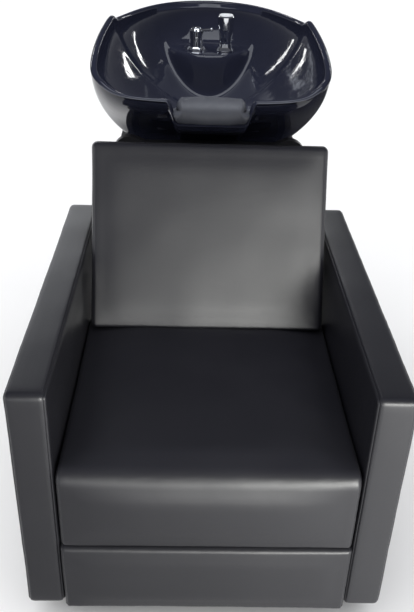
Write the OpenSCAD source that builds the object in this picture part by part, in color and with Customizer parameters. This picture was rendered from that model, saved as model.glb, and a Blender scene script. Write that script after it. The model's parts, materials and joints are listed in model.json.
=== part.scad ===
// Shampoo backwash unit: an upholstered armchair joined to a pedestal that carries a tilting ceramic bowl.
// Origin at the centre of the footprint, on the floor. +Y runs from the sitter's knees towards the bowl.

/* [Chair] */
// Overall width across the arms
overall_w = 650; // [620:1:700]
// Thickness of an arm
arm_t = 68; // [60:1:75]
// Length of an arm, front to back
arm_l = 754; // [740:1:770]
// Height of an arm panel, without the feet
arm_h = 477; // [450:1:490]
// Height of the feet
foot_h = 50; // [40:1:70]
// Height of the seat's front edge above the chair's underside
seat_top = 325; // [310:1:340]
// Height of the seam between the seat and the kick panel
seam_h = 158; // [140:1:170]
// Width of the back cushion
back_w = 492; // [460:1:500]
// Lean of the back from the vertical, degrees
recline = 24; // [22:1:26]

/* [Bowl] */
// Greatest width of the bowl
bowl_w = 516; // [500:1:530]
// Distance from the neck edge to the rear rim
bowl_l = 560; // [540:1:570]
// Height of the front rim above the chair's underside
rim_front_h = 772; // [765:1:790]
// Depth of the neck notch below the front rim
notch_d = 48; // [40:1:52]
// Thickness of the rim
rim_t = 15; // [12:1:18]
// Thickness of the glazed walls
wall_t = 12; // [10:1:13]

/* [Pedestal] */
// Width of the pedestal
ped_w = 424; // [410:1:440]
// Depth of the pedestal, front to back
ped_l = 388; // [370:1:400]
// Thickness of its panels
panel_t = 20; // [16:1:22]

/* [Fittings] */
// Radius of the hand spray
spray_r = 20; // [18:1:22]
// Radius of the mixer body
mixer_r = 18; // [16:1:20]
// Radius of the waste outlet spigot
outlet_r = 20; // [16:1:20]
// Radius of each water inlet nipple
inlet_r = 10; // [8:0.5:10.5]

/* [Hidden] */
$fn = 48;

// Layout, all from the driving sizes
bulge = 10;                              // how far the seat stands proud of the arm fronts
neck_gap = 592;                          // arm front face to neck edge
total_l = bulge + neck_gap + bowl_l;
arm_y0 = -total_l / 2 + bulge;           // arm front face
base_z = foot_h;                         // underside of the chair
arm_in = overall_w / 2 - arm_t;          // inner face of an arm
gap = 2.5;                               // soft panels stay this far apart
seat_z = base_z + seat_top;
seam_z = base_z + seam_h;
seat_w = 2 * (arm_in - gap);
seat_y0 = arm_y0 - bulge;
board_t = 15;
kick_t = 40;                             // thickness of the kick panel's padding
seat_y1 = arm_y0 + 507;                  // rear of the seat
arm_round = 12;
seat_round = 24;
kick_round = 14;
back_round = 22;

// Back, as a slab that leans by recline; its lower front edge stands on the seat
back_foot = [arm_y0 + 420, seat_z + 4];
back_l = 396;
back_pad = 70;
lean_up = [sin(recline), cos(recline)];
lean_out = [cos(recline), -sin(recline)];
function back_pt(u, v) = back_foot + u * lean_up + v * lean_out;
// The point of the line v from the face that lies at the foot's height
function back_floor(v) = [back_foot[0] + v / cos(recline), back_foot[1]];

// Frames
rail_t = 25;
rail_h = 60;
tube_w = 40;
tube_h = 30;
tube_wall = 3;
base_rail_x = ped_w / 2 - tube_w;
seat_rail_x = arm_in - gap - rail_t;
rail_top = seam_z - 1 - board_t;
rail_y0 = arm_y0 + 45;
rail_y1 = arm_y0 + arm_l - 30;
screw_r = 4;
head_r = 8;
head_t = 5;

// Pedestal
ped_y0 = arm_y0 + 672;
ped_y1 = ped_y0 + ped_l;
ped_x = ped_w / 2;
ped_z0 = base_z + tube_h;
ped_top = base_z + 669;
side_top = base_z + 600;
shoulder_r = 40;
front_dip = [140, 12];                   // half width and depth of the front panel's recess under the bowl
front_dip_run = 30;                      // length of each sloping end of that recess
rear_dip = [165, 20];                    // the same for the rear panel, into which the bowl tilts
shelf_z = base_z + 500;
shelf_t = 18;
shelf_y1 = ped_y1 - 105;                 // leaves room behind for the hoses when the bowl tilts
door_w = 316;
door_h = 360;
door_z0 = base_z + 120;
door_gap = 2;
hinge_r = 5;
hinge_pin_r = 2.5;
run_gap = 0.05;
hinge_x = -door_w / 2 - door_gap;
hinge_y = ped_y1 + hinge_r;
hinge_zs = [door_z0 + 50, door_z0 + door_h - 110];
hinge_l = 60;
leaf_w = 26;
leaf_t = 2;
leaf_off = 4.5;                          // from the pin to a leaf's plate, clear of the other knuckles
knuckle_gap = 0.15;

// Bowl
bowl_y0 = arm_y0 + neck_gap;             // neck edge
bowl_mid = bowl_y0 + 258;                // centre of the well and drain
bowl_z = base_z + 600;                   // level that the outer rings start from
rim_z0 = base_z + rim_front_h;
well_z = base_z + 672;                   // floor of the well
deck_z = base_z + 778;                   // tap ledge
deck_y = bowl_y0 + 356;                  // front of the tap ledge
skirt_h = 0.1;                           // ring value of the skirt's lower edge
mixer_pos = [-32, bowl_y0 + 438];
spray_pos = [40, bowl_y0 + 426];
drain_r = 30;
deck_bow = 0.006;                        // how fast the ledge's front edge falls back to the sides, per mm
mixer_hole_r = 17;
mixer_shank_r = 16;
flange_r = 42;
flange_lift = 5.5;                        // underside of the waste flange over the well floor
spray_base_r = 21;
spray_hole_r = 14;
bowl_sides = 64;

// Tilt
pivot_y = bowl_mid;
pivot_z = base_z + 600;
pivot_r = 8;
lug_x = 80;
lug_t = 6;
plate_z = well_z - wall_t - 6;           // top of the cradle plate
ear_r = 18;

function smooth(t) = let(c = min(max(t, 0), 1)) c * c * (3 - 2 * c);
function step_up(v, a, b) = smooth((v - a) / (b - a));
function power(v, p) = sign(v) * pow(abs(v), p);
function oval(phi, a, front, back, mid) =
  let(c = cos(phi), s = sin(phi), e = s < 0 ? 2 / 2.6 : 2 / 1.9)
  [a * power(c, e), mid + (s < 0 ? mid - front : back - mid) * power(s, e)];

// Height of the rim over a point of its outline: wings that rise to ears, a lower rear rim, a neck notch
function rim_height(x, y) =
  let(d = y - bowl_y0,
      wing = rim_z0 + 0.355 * max(d - 14, 0) * step_up(d, 4, 68),
      rear = rim_z0 + 96 + 9 * step_up(d, 338, 548),
      ear = step_up(d, 306, 336),
      notch = (1 - step_up(abs(x), 70, 92)) * (1 - step_up(d, 58, 168)))
  wing * (1 - ear) + rear * ear - notch_d * notch;

// Outline of the outer skirt at ring value h, from 0 at the bottom to 1 at the rim, set in by t
function girth(h) = pow(1 - pow(1 - h, 2.38), 0.3125);
function outline(phi, h, t) =
  oval(phi, bowl_w / 2 * girth(h) - t, bowl_y0 + 150 * smooth((1 - h) / 0.75) + t,
       bowl_mid - 20 + (bowl_l - 238) * girth(h) - t, bowl_y0 + 148 + 90 * (1 - h));
function over_rim(phi) = outline(phi, 1, 0);
function skirt_pt(phi, h, t) =
  let(p = outline(phi, h, t), r = over_rim(phi))
  [p[0], p[1], bowl_z + (rim_height(r[0], r[1]) - bowl_z) * h];

// Round lip of the rim at angle a: 0 outside, 90 on top, 180 inside
function lip_pt(phi, a) =
  let(p = outline(phi, 1, rim_t / 2 * (1 - cos(a))), r = over_rim(phi))
  [p[0], p[1], rim_height(r[0], r[1]) - rim_t / 2 * (1 - sin(a))];

// Inner dish at s, from 1 at the lip to 0 at the drain, lowered by d
function dish_rise(s) = 0.75 * s * s + 0.25 * (1 - pow(1 - pow(s, 6), 0.4));
function soft_max(a, b, k) = (a + b + sqrt((a - b) * (a - b) + k * k)) / 2;
function dish_pt(phi, s, t, d) =
  let(e = outline(phi, 1, rim_t + t), r = over_rim(phi),
      x = e[0] * s,
      y = bowl_mid + (e[1] - bowl_mid) * s,
      top = rim_height(r[0], r[1]) - rim_t / 2,
      base = well_z + (top - well_z) * dish_rise(s),
      front = deck_y + deck_bow * x * x + t,
      ledge = well_z - 40 + (deck_z - well_z + 40) * step_up(y, front - 40, front + 26))
  [x, y, soft_max(base, ledge, 14) - d];

function ring(n) = [for (i = [0:n - 1]) 360 * i / n];

// Ring value of the skirt's lower edge: raised to an arch behind, where the hoses pass
function edge_h(phi) =
  let(x = outline(phi, skirt_h, 0)[0])
  skirt_h + (sin(phi) > 0 ? 0.07 * (1 - step_up(abs(x + 12), 66, 100)) : 0);
bowl_rings = concat(
  [for (s = [0.10, 0.24, 0.33, 0.4, 0.46, 0.54, 0.64, 0.75, 0.86, 0.93, 0.975])
    [for (phi = ring(bowl_sides)) dish_pt(phi, s, 0, 0)]],
  [for (a = [180:-45:0]) [for (phi = ring(bowl_sides)) lip_pt(phi, a)]],
  [for (h = [0.9, 0.78, 0.66, 0.52, 0.38, 0.24]) [for (phi = ring(bowl_sides)) skirt_pt(phi, h, 0)]],
  [for (t = [0, wall_t]) [for (phi = ring(bowl_sides)) skirt_pt(phi, edge_h(phi), t)]],
  [for (h = [0.3, 0.54, 0.76]) [for (phi = ring(bowl_sides)) skirt_pt(phi, h, wall_t)]],
  [for (s = [0.82, 0.7, 0.54, 0.46, 0.4, 0.33, 0.22, 0.10])
    [for (phi = ring(bowl_sides)) dish_pt(phi, s, 6 * s, wall_t + 2 * s)]]
);

// One closed skin over a stack of rings, with a flat cap on the first and the last
module ring_stack(rings) {
  n = len(rings[0]);
  last = len(rings) - 1;
  polyhedron(
    points = [for (r = rings) each r],
    faces = concat(
      [[for (i = [0:n - 1]) n - 1 - i]],
      [for (j = [0:last - 1]) for (i = [0:n - 1]) let(k = (i + 1) % n)
        [j * n + i, j * n + k, (j + 1) * n + i]],
      [for (j = [0:last - 1]) for (i = [0:n - 1]) let(k = (i + 1) % n)
        [j * n + k, (j + 1) * n + k, (j + 1) * n + i]],
      [[for (i = [0:n - 1]) last * n + i]]
    ),
    convexity = 10
  );
}

// Hose: a tube swept along hand-set points, eased by Catmull-Rom in between
function ease(p, q, r, s, t) =
  0.5 * (2 * q + (r - p) * t + (2 * p - 5 * q + 4 * r - s) * t * t + (3 * q - p - 3 * r + s) * t * t * t);
function route(pts, per) = concat(
  [for (i = [0:len(pts) - 2]) for (j = [0:per - 1])
    ease(pts[max(i - 1, 0)], pts[i], pts[i + 1], pts[min(i + 2, len(pts) - 1)], j / per)],
  [pts[len(pts) - 1]]);
function unit(v) = v / norm(v);
module hose(pts, r, per) {
  path = route(pts, per);
  sides = 10;
  last = len(path) - 1;
  ring_stack([for (i = [0:last])
    let(t = unit(path[min(i + 1, last)] - path[max(i - 1, 0)]),
        u = unit(cross(t, [0.9, 0.3, 0.05])),
        v = cross(t, u))
    [for (a = ring(sides)) path[i] + r * (cos(a) * u + sin(a) * v)]]);
}

// Box with every edge rounded, from corner lo to corner hi
module soft_box(lo, hi, r) {
  hull()
    for (x = [lo[0] + r, hi[0] - r], y = [lo[1] + r, hi[1] - r], z = [lo[2] + r, hi[2] - r])
      translate([x, y, z])
        sphere(r, $fn = 24);
}

module box(lo, hi) {
  translate(lo)
    cube(hi - lo);
}

// Outline drawn in the Y-Z plane, made x0 to x1 wide
module side_plate(x0, x1, pts) {
  translate([x0, 0, 0])
    rotate([90, 0, 90])
      linear_extrude(x1 - x0)
        polygon(pts);
}

module rod_x(p, r, l) {
  translate(p)
    rotate([0, 90, 0])
      cylinder(r = r, h = l);
}

module rod_y(p, r, l) {
  translate(p)
    rotate([-90, 0, 0])
      cylinder(r = r, h = l);
}

module rod_z(p, r, l) {
  translate(p)
    cylinder(r = r, h = l);
}

// Round part: outline in [radius, height] turned about the vertical through p
module turned(p, pts) {
  translate(p)
    rotate_extrude($fn = 64)
      polygon(pts);
}

module hex_nut(p, across, h, bore) {
  translate(p)
    difference() {
      cylinder(r = across / sqrt(3), h = h, $fn = 6);
      translate([0, 0, -1])
        cylinder(r = bore, h = h + 2);
    }
}

module both_sides() {
  children();
  mirror([1, 0, 0])
    children();
}

// ---- Chair ----

core_t = 18;
core_x = arm_in + (arm_t - core_t) / 2;
core_inset = 30;                         // padding round the edges of an arm core
arm_bolt_ys = [arm_y0 + 130, arm_y0 + 380, arm_y0 + 640];
arm_bolt_z = rail_top - rail_h / 2;

module arm_core_block() {
  box([core_x, arm_y0 + core_inset, base_z + core_inset],
      [core_x + core_t, arm_y0 + arm_l - core_inset, base_z + arm_h - core_inset]);
}

module arm_core() {
  difference() {
    arm_core_block();
    for (y = arm_bolt_ys)
      rod_x([core_x - 1, y, arm_bolt_z], screw_r, core_t + 2);
  }
}

module arm_cover() {
  difference() {
    soft_box([arm_in, arm_y0, base_z], [arm_in + arm_t, arm_y0 + arm_l, base_z + arm_h], arm_round);
    arm_core_block();
    for (y = arm_bolt_ys)
      rod_x([arm_in - 1, y, arm_bolt_z], screw_r, core_x - arm_in + 2);
  }
}

module arm_cover_left() {
  color("#26272b")
    mirror([1, 0, 0])
      arm_cover();
}

module arm_cover_right() {
  color("#26272b")
    arm_cover();
}

module arm_core_left() {
  color("#c8a878")
    mirror([1, 0, 0])
      arm_core();
}

module arm_core_right() {
  color("#c8a878")
    arm_core();
}

// Bolts from the seat rails through the inner padding into the arm cores
module arm_bolts() {
  color("silver")
    both_sides()
      for (y = arm_bolt_ys) {
        rod_x([seat_rail_x, y, arm_bolt_z], screw_r, core_x + core_t - seat_rail_x);
        rod_x([seat_rail_x - head_t, y, arm_bolt_z], head_r, head_t);
      }
}

module seat_cushion() {
  color("#1c1d20")
    soft_box([-seat_w / 2, seat_y0, seam_z], [seat_w / 2, seat_y1, seat_z], seat_round);
}

module seat_board() {
  color("#c8a878")
    box([-seat_w / 2 + 3, seat_y0 + kick_t + 1, rail_top], [seat_w / 2 - 3, seat_y1, rail_top + board_t]);
}

module kick_cushion() {
  color("#1c1d20")
    soft_box([-seat_w / 2, seat_y0, base_z], [seat_w / 2, seat_y0 + kick_t, seam_z - 2], kick_round);
}

module kick_board() {
  color("#c8a878")
    box([-seat_w / 2 + 3, seat_y0 + kick_t, ped_z0 + 2], [seat_w / 2 - 3, rail_y0, rail_top]);
}

module seat_side_rails() {
  color("#b89868")
    both_sides()
      difference() {
        box([seat_rail_x, rail_y0, rail_top - rail_h], [seat_rail_x + rail_t, rail_y1, rail_top]);
        for (y = arm_bolt_ys)
          rod_x([seat_rail_x - 1, y, arm_bolt_z], screw_r, rail_t + 2);
      }
}

cross_rail_ys = [rail_y0, arm_y0 + 482];
module seat_cross_rails() {
  color("#b89868")
    for (y = cross_rail_ys)
      box([-seat_rail_x, y, rail_top - rail_h], [seat_rail_x, y + rail_t, rail_top]);
}

// Blocks that stand the cross rails on the base frame
module seat_posts() {
  color("#b89868")
    both_sides()
      for (y = cross_rail_ys)
        box([base_rail_x + 2, y, ped_z0], [base_rail_x + tube_w - 2, y + rail_t, rail_top - rail_h]);
}

module back_cushion() {
  r = back_round;
  color("#1c1d20")
    hull()
      for (x = [-back_w / 2 + r, back_w / 2 - r]) {
        for (q = [back_pt(back_l - r, r), back_pt(back_l - r, back_pad - r)])
          translate([x, q[0], q[1]])
            sphere(r, $fn = 32);
        for (v = [r, back_pad - r]) {
          q = back_floor(v);
          translate([x, q[0] + r * tan(recline), q[1] + r])
            sphere(r, $fn = 32);
        }
      }
}

module back_board() {
  v0 = back_pad;
  v1 = back_pad + board_t;
  color("#1c1d20")
    difference() {
      side_plate(-back_w / 2 + 4, back_w / 2 - 4,
                 [back_floor(v0), back_pt(back_l - 6, v0), back_pt(back_l - 6, v1), back_floor(v1)]);
      both_sides()
        for (u = back_bolt_us)
          translate([bracket_x + bracket_t / 2, back_pt(u, v0)[0], back_pt(u, v0)[1]])
            rotate([-90 - recline, 0, 0])
              translate([0, 0, -1])
                cylinder(r = screw_r, h = board_t + 2);
    }
}

// Steel angle brackets from the rear of the back board down to the rear cross rail
bracket_x = 150;
bracket_t = 36;
strap_t = 5;
back_bolt_us = [110, 220];
function strap(v) = back_pt(260, v);
module back_brackets() {
  v0 = back_pad + board_t;
  v1 = v0 + strap_t;
  low = rail_top - rail_h + 6;
  yb = cross_rail_ys[1] + rail_t;
  color("#3a3b3e")
    both_sides()
      difference() {
        side_plate(bracket_x, bracket_x + bracket_t,
                   [back_floor(v0), strap(v0), strap(v1), back_floor(v1),
                    [yb + strap_t, seam_z], [yb + strap_t, low], [yb, low], [yb, seam_z]]);
        for (u = back_bolt_us)
          translate([bracket_x + bracket_t / 2, back_pt(u, v0)[0], back_pt(u, v0)[1]])
            rotate([-90 - recline, 0, 0])
              translate([0, 0, -1])
                cylinder(r = screw_r, h = strap_t + 2);
      }
}

module back_bolts() {
  v1 = back_pad + board_t + strap_t;
  color("silver")
    both_sides()
      for (u = back_bolt_us)
        translate([bracket_x + bracket_t / 2, back_pt(u, v1)[0], back_pt(u, v1)[1]])
          rotate([-90 - recline, 0, 0]) {
            cylinder(r = head_r, h = head_t);
            translate([0, 0, -strap_t - board_t])
              cylinder(r = screw_r, h = strap_t + board_t);
          }
}

// ---- Base frame ----

foot_ys = [arm_y0 + 75, arm_y0 + 640, ped_y1 - 40];
foot_spots = [for (x = [-1, 1], y = foot_ys) [x * (base_rail_x + tube_w / 2), y]];
bar_ys = [arm_y0 + 50, arm_y0 + 600, ped_y1 - 60];

module tube_y(x, y0, y1) {
  difference() {
    box([x, y0, base_z], [x + tube_w, y1, base_z + tube_h]);
    box([x + tube_wall, y0 - 1, base_z + tube_wall],
        [x + tube_w - tube_wall, y1 + 1, base_z + tube_h - tube_wall]);
  }
}

module base_side_rails() {
  color("#3a3b3e")
    difference() {
      both_sides()
        tube_y(base_rail_x, rail_y0, ped_y1);
      for (f = foot_spots)
        rod_z([f[0], f[1], base_z - 1], screw_r, tube_wall + 2);
    }
}

module base_crossbars() {
  color("#3a3b3e")
    for (y = bar_ys)
      difference() {
        box([-base_rail_x, y, base_z], [base_rail_x, y + tube_w, base_z + tube_h]);
        box([-base_rail_x - 1, y + tube_wall, base_z + tube_wall],
            [base_rail_x + 1, y + tube_w - tube_wall, base_z + tube_h - tube_wall]);
      }
}

recess_t = 8;                             // depth of the screw's recess in a foot
module glide_feet() {
  color("#202124")
    for (f = foot_spots)
      turned([f[0], f[1], 0], [[screw_r, recess_t], [12, recess_t], [12, 0], [23, 0], [25, 4], [19, foot_h],
                               [screw_r, foot_h]]);
}

module foot_screws() {
  color("silver")
    for (f = foot_spots) {
      rod_z([f[0], f[1], recess_t], screw_r, base_z - 1);
      rod_z([f[0], f[1], recess_t - head_t], head_r, head_t);
    }
}

// ---- Pedestal ----

module housing_front() {
  y0 = ped_y0;
  color("#1c1d20")
    translate([0, y0 + panel_t, 0])
      rotate([90, 0, 0])
        linear_extrude(panel_t)
          difference() {
            union() {
              translate([-ped_x, ped_z0])
                square([ped_w, ped_top - shoulder_r - ped_z0]);
              translate([-ped_x + shoulder_r, ped_z0])
                square([ped_w - 2 * shoulder_r, ped_top - ped_z0]);
              for (x = [-1, 1])
                translate([x * (ped_x - shoulder_r), ped_top - shoulder_r])
                  circle(shoulder_r, $fn = 96);
            }
            polygon([[-front_dip[0], ped_top - front_dip[1]], [front_dip[0], ped_top - front_dip[1]],
                     [front_dip[0] + front_dip_run, ped_top], [front_dip[0] + front_dip_run, ped_top + 1],
                     [-front_dip[0] - front_dip_run, ped_top + 1], [-front_dip[0] - front_dip_run, ped_top]]);
          }
}

module housing_side() {
  box([ped_x - panel_t, ped_y0 + panel_t, ped_z0], [ped_x, ped_y1 - panel_t, side_top]);
}

module housing_left() {
  color("#1c1d20")
    mirror([1, 0, 0])
      housing_side();
}

module housing_right() {
  color("#1c1d20")
    housing_side();
}

module housing_shelf() {
  color("#c8a878")
    difference() {
      box([-ped_x + panel_t, ped_y0 + panel_t, shelf_z], [ped_x - panel_t, shelf_y1, shelf_z + shelf_t]);
      rod_z([0, bowl_mid, shelf_z - 1], 45, shelf_t + 2);
      for (p = bracket_bolt_spots)
        rod_z([p[0], p[1], shelf_z - 1], screw_r, shelf_t + 2);
    }
}

outlet_spot = [75, base_z + 75];
inlet_spots = [[-60, base_z + 75], [-115, base_z + 75]];
module housing_rear() {
  color("#1c1d20")
    difference() {
      box([-ped_x, ped_y1 - panel_t, ped_z0], [ped_x, ped_y1, side_top]);
      box([-door_w / 2 - door_gap, ped_y1 - panel_t - 1, door_z0 - door_gap],
          [door_w / 2 + door_gap, ped_y1 + 1, door_z0 + door_h + door_gap]);
      box([-rear_dip[0], ped_y1 - panel_t - 1, side_top - rear_dip[1]],
          [rear_dip[0], ped_y1 + 1, side_top + 1]);
      rod_y([outlet_spot[0], ped_y1 - panel_t - 1, outlet_spot[1]], outlet_r, panel_t + 2);
      for (p = inlet_spots)
        rod_y([p[0], ped_y1 - panel_t - 1, p[1]], inlet_r, panel_t + 2);
    }
}

// Heads of the screws that hold the rear panel to the sides
module housing_screws() {
  color("silver")
    both_sides()
      for (z = [ped_z0 + 40, (ped_z0 + side_top) / 2, side_top - 40])
        translate([ped_x - panel_t / 2, ped_y1, z])
          rotate([-90, 0, 0])
            cylinder(r1 = 6, r2 = 4, h = 2.5);
}

module service_door() {
  color("#1c1d20")
    difference() {
      box([-door_w / 2, ped_y1 - 16, door_z0], [door_w / 2, ped_y1, door_z0 + door_h]);
      rod_y(knob_pos - [0, 17, 0], screw_r, 18);
    }
}

// One hinge leaf: a flat plate and every second knuckle from z0 to z1, counted in fifths of its height
module leaf(side, z, h, z0, z1) {
  difference() {
    union() {
      box([hinge_x + (side > 0 ? leaf_off : -leaf_w), ped_y1, z],
          [hinge_x + (side > 0 ? leaf_w : -leaf_off), ped_y1 + leaf_t, z + h]);
      for (k = [z0:2:z1]) {
        rod_z([hinge_x, hinge_y, z + k * h / 5 + knuckle_gap], hinge_r, h / 5 - 2 * knuckle_gap);
        box([hinge_x + (side > 0 ? 0 : -6), ped_y1, z + k * h / 5 + knuckle_gap],
            [hinge_x + (side > 0 ? 6 : 0), ped_y1 + leaf_t, z + (k + 1) * h / 5 - knuckle_gap]);
      }
    }
    rod_z([hinge_x, hinge_y, z - 1], hinge_pin_r + run_gap, h + 2);
  }
}

module door_leaves() {
  color("silver")
    for (z = hinge_zs)
      leaf(1, z, hinge_l, 1, 3);
}

module frame_leaves() {
  color("silver")
    for (z = hinge_zs)
      leaf(-1, z, hinge_l, 0, 4);
}

module hinge_pins() {
  color("silver")
    for (z = hinge_zs) {
      rod_z([hinge_x, hinge_y, z], hinge_pin_r, hinge_l);
      rod_z([hinge_x, hinge_y, z + hinge_l + 0.2], hinge_pin_r + 1.5, 2);
      rod_z([hinge_x, hinge_y, z + hinge_l - 1], hinge_pin_r, 1.5);
    }
}

knob_pos = [door_w / 2 - 35, ped_y1, door_z0 + door_h / 2];
module door_knob() {
  color("silver")
    translate(knob_pos)
      rotate([-90, 0, 0]) {
        rotate_extrude($fn = 64)
          polygon([[0, 0], [8, 0], [6, 8], [13, 14], [15, 18], [13, 22], [0, 23]]);
        translate([0, 0, -16])
          cylinder(r = screw_r, h = 16);
      }
}

catch_z = door_z0 + door_h - 60;
module door_strike() {
  color("silver")
    box([door_w / 2 - 40, ped_y1 - 18, catch_z], [door_w / 2 - 10, ped_y1 - 16, catch_z + 30]);
}

module magnet_catch() {
  color("#202124")
    box([door_w / 2 - 40, ped_y1 - 33, catch_z], [ped_x - panel_t, ped_y1 - panel_t, catch_z + 30]);
}

// Waste spigot: flange on the rear panel, hose tail inside, plain pipe outside
module waste_outlet() {
  color("#2b2c30")
    translate([outlet_spot[0], ped_y1, outlet_spot[1]])
      rotate([-90, 0, 0])
        difference() {
          union() {
            translate([0, 0, -panel_t - 30])
              cylinder(r = outlet_r, h = panel_t + 30 + 40);
            cylinder(r = outlet_r + 10, h = 4);
          }
          translate([0, 0, -panel_t - 31])
            cylinder(r = outlet_r - 3, h = panel_t + 31 + 41);
        }
}

module water_inlets() {
  color("silver")
    for (p = inlet_spots)
      translate([p[0], ped_y1, p[1]])
        rotate([-90, 0, 0])
          difference() {
            union() {
              translate([0, 0, -panel_t - 15])
                cylinder(r = inlet_r, h = panel_t + 15 + 22);
              cylinder(r = inlet_r + 6, h = 4);
              translate([0, 0, -panel_t - 6])
                cylinder(r = inlet_r + 6, h = 6, $fn = 6);
            }
            translate([0, 0, -panel_t - 16])
              cylinder(r = inlet_r - 3.5, h = panel_t + 16 + 23);
          }
}

// ---- Tilt gear ----

bracket_bolt_spots = [for (x = [-1, 1], y = [-40, 40]) [x * (lug_x + lug_t + 28), pivot_y + y]];
bracket_in = lug_x + lug_t + 1.5;
module tilt_brackets() {
  z0 = shelf_z + shelf_t;
  color("#8a8c90")
    both_sides()
      difference() {
        union() {
          box([bracket_in, pivot_y - 60, z0], [bracket_in + 45, pivot_y + 60, z0 + lug_t]);
          side_plate(bracket_in, bracket_in + lug_t,
                     [[pivot_y - 60, z0], [pivot_y + 60, z0],
                      [pivot_y + ear_r, pivot_z], [pivot_y - ear_r, pivot_z]]);
          rod_x([bracket_in, pivot_y, pivot_z], ear_r, lug_t);
        }
        rod_x([bracket_in - 1, pivot_y, pivot_z], pivot_r, lug_t + 2);
        for (p = bracket_bolt_spots)
          if (p[0] > 0)
            rod_z([p[0], p[1], z0 - 1], screw_r, lug_t + 2);
      }
}

module bracket_bolts() {
  color("silver")
    for (p = bracket_bolt_spots) {
      rod_z([p[0], p[1], shelf_z], screw_r, shelf_t + lug_t);
      rod_z([p[0], p[1], shelf_z + shelf_t + lug_t], head_r, head_t);
    }
}

// Cradle plate under the dish, with two lugs that reach down to the pivots
plate_hole_r = 50;
cradle_bolt_spots = [for (x = [-1, 1], y = [-1, 1]) [x * 58, pivot_y + y * 58]];
module tilt_cradle() {
  color("#8a8c90")
    difference() {
      union() {
        box([-lug_x - lug_t, pivot_y - 75, plate_z - lug_t], [lug_x + lug_t, pivot_y + 75, plate_z]);
        both_sides() {
          side_plate(lug_x, lug_x + lug_t,
                     [[pivot_y - 60, plate_z - 1], [pivot_y - ear_r, pivot_z],
                      [pivot_y + ear_r, pivot_z], [pivot_y + 60, plate_z - 1]]);
          rod_x([lug_x, pivot_y, pivot_z], ear_r, lug_t);
        }
      }
      rod_z([0, pivot_y, plate_z - lug_t - 1], plate_hole_r, lug_t + 2);
      both_sides()
        rod_x([lug_x - 1, pivot_y, pivot_z], pivot_r + run_gap, lug_t + 2);
      for (p = cradle_bolt_spots)
        rod_z([p[0], p[1], plate_z - lug_t - 1], screw_r, lug_t + 2);
    }
}

module cradle_bolts() {
  color("silver")
    for (p = cradle_bolt_spots) {
      rod_z([p[0], p[1], plate_z - lug_t - head_t], head_r, head_t);
      rod_z([p[0], p[1], plate_z - lug_t], screw_r, lug_t);
    }
}

// Rubber blocks that take up the space between the plate and the round underside of the dish
pad_hs = [12.2, 21.7];                   // front and rear
pad_r = 13;
module cradle_pads() {
  color("#202124")
    for (p = cradle_bolt_spots)
      let(h = pad_hs[p[1] > pivot_y ? 1 : 0])
        turned([p[0], p[1], plate_z], [[0, 0], [pad_r, 0], [pad_r, h - 2.8], [5, h], [0, h]]);
}

pivot_x0 = lug_x - 0.3;                    // inner face of a bolt's shank, just clear of the lug
module pivot_bolts() {
  color("silver")
    both_sides() {
      rod_x([pivot_x0 - 8, pivot_y, pivot_z], pivot_r + 5, 8);
      rod_x([pivot_x0, pivot_y, pivot_z], pivot_r, bracket_in + lug_t + 14 - pivot_x0);
    }
}

module friction_washers() {
  color("#202124")
    both_sides()
      difference() {
        rod_x([lug_x + lug_t, pivot_y, pivot_z], ear_r - 2, 1.4);
        rod_x([lug_x + lug_t - 1, pivot_y, pivot_z], pivot_r, 3.4);
      }
}

module pivot_nuts() {
  color("silver")
    both_sides()
      translate([bracket_in + lug_t, pivot_y, pivot_z])
        rotate([0, 90, 0])
          difference() {
            union() {
              cylinder(r = pivot_r + 7, h = 2);
              cylinder(r = pivot_r + 6, h = 10, $fn = 6);
            }
            translate([0, 0, -1])
              cylinder(r = pivot_r, h = 12);
          }
}

// ---- Bowl ----

// The bowl is ground flat where the waste, the mixer and the spray holder stand on it
seat_gap = 0.5;
module bowl() {
  color("#17181c")
    difference() {
      ring_stack(bowl_rings);
      rod_z([0, bowl_mid, well_z - 60], drain_r, 120);
      rod_z([mixer_pos[0], mixer_pos[1], deck_z - 60], mixer_hole_r, 120);
      rod_z([spray_pos[0], spray_pos[1], deck_z - 60], spray_hole_r, 120);
      rod_z([0, bowl_mid, well_z + flange_lift], flange_r + seat_gap, 20);
      rod_z([mixer_pos[0], mixer_pos[1], deck_z + 1], mixer_r + 6 + seat_gap, 12);
      rod_z([spray_pos[0], spray_pos[1], deck_z + 1], spray_base_r + seat_gap, 12);
    }
}

// Gel rest that fills the notch: a roll, fuller towards its ends, with a pinched waist
module neck_rest() {
  cols = 22;
  mid = [bowl_y0 + 24, rim_z0 - notch_d + 22];
  color("#3c3d40")
    ring_stack([for (i = [0:cols])
      let(x = 2 * i / cols - 1,
          end = i == 0 || i == cols,
          full = end ? 0.2 : pow(1 - pow(x, 6), 0.5),
          rise = 14 * (1 - x * x))
      [for (j = ring(20))
        let(waist = end ? 0 : 8 * pow(sin(j), 2))
        [x * (81 - waist),
         mid[0] + rise * (1 + sin(j)) / 2 + 34 * full * cos(j),
         mid[1] + 24 * full * sin(j)]]]);
}

// ---- Waste ----

module waste_flange() {
  color("silver")
    turned([0, bowl_mid, well_z],
           [[22, -34], [25, -34], [25, -1], [31, flange_lift], [flange_r, flange_lift],
            [flange_r - 1, 8], [32, 9], [22, 0]]);
}

module waste_gasket() {
  color("#202124")
    turned([0, bowl_mid, well_z - wall_t], [[25.2, -5], [40, -5], [40, -1], [25.2, -1]]);
}

module tailpiece() {
  color("#2b2c30")
    turned([0, bowl_mid, well_z - 34], [[17, 0], [22, 0], [22, -10], [20, -12], [20, -78], [17, -78]]);
}

// Lift-out dome with a ring of slots
module strainer() {
  color("silver")
    difference() {
      turned([0, bowl_mid, well_z], [[0, 9.5], [30, 9.5], [31, 11], [26, 15], [14, 18], [0, 19]]);
      for (a = [0:45:315])
        translate([0, bowl_mid, well_z])
          rotate([0, 0, a])
            translate([12, -2, 0])
              cube([12, 4, 30]);
    }
}

// ---- Mixer and spray ----

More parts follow.
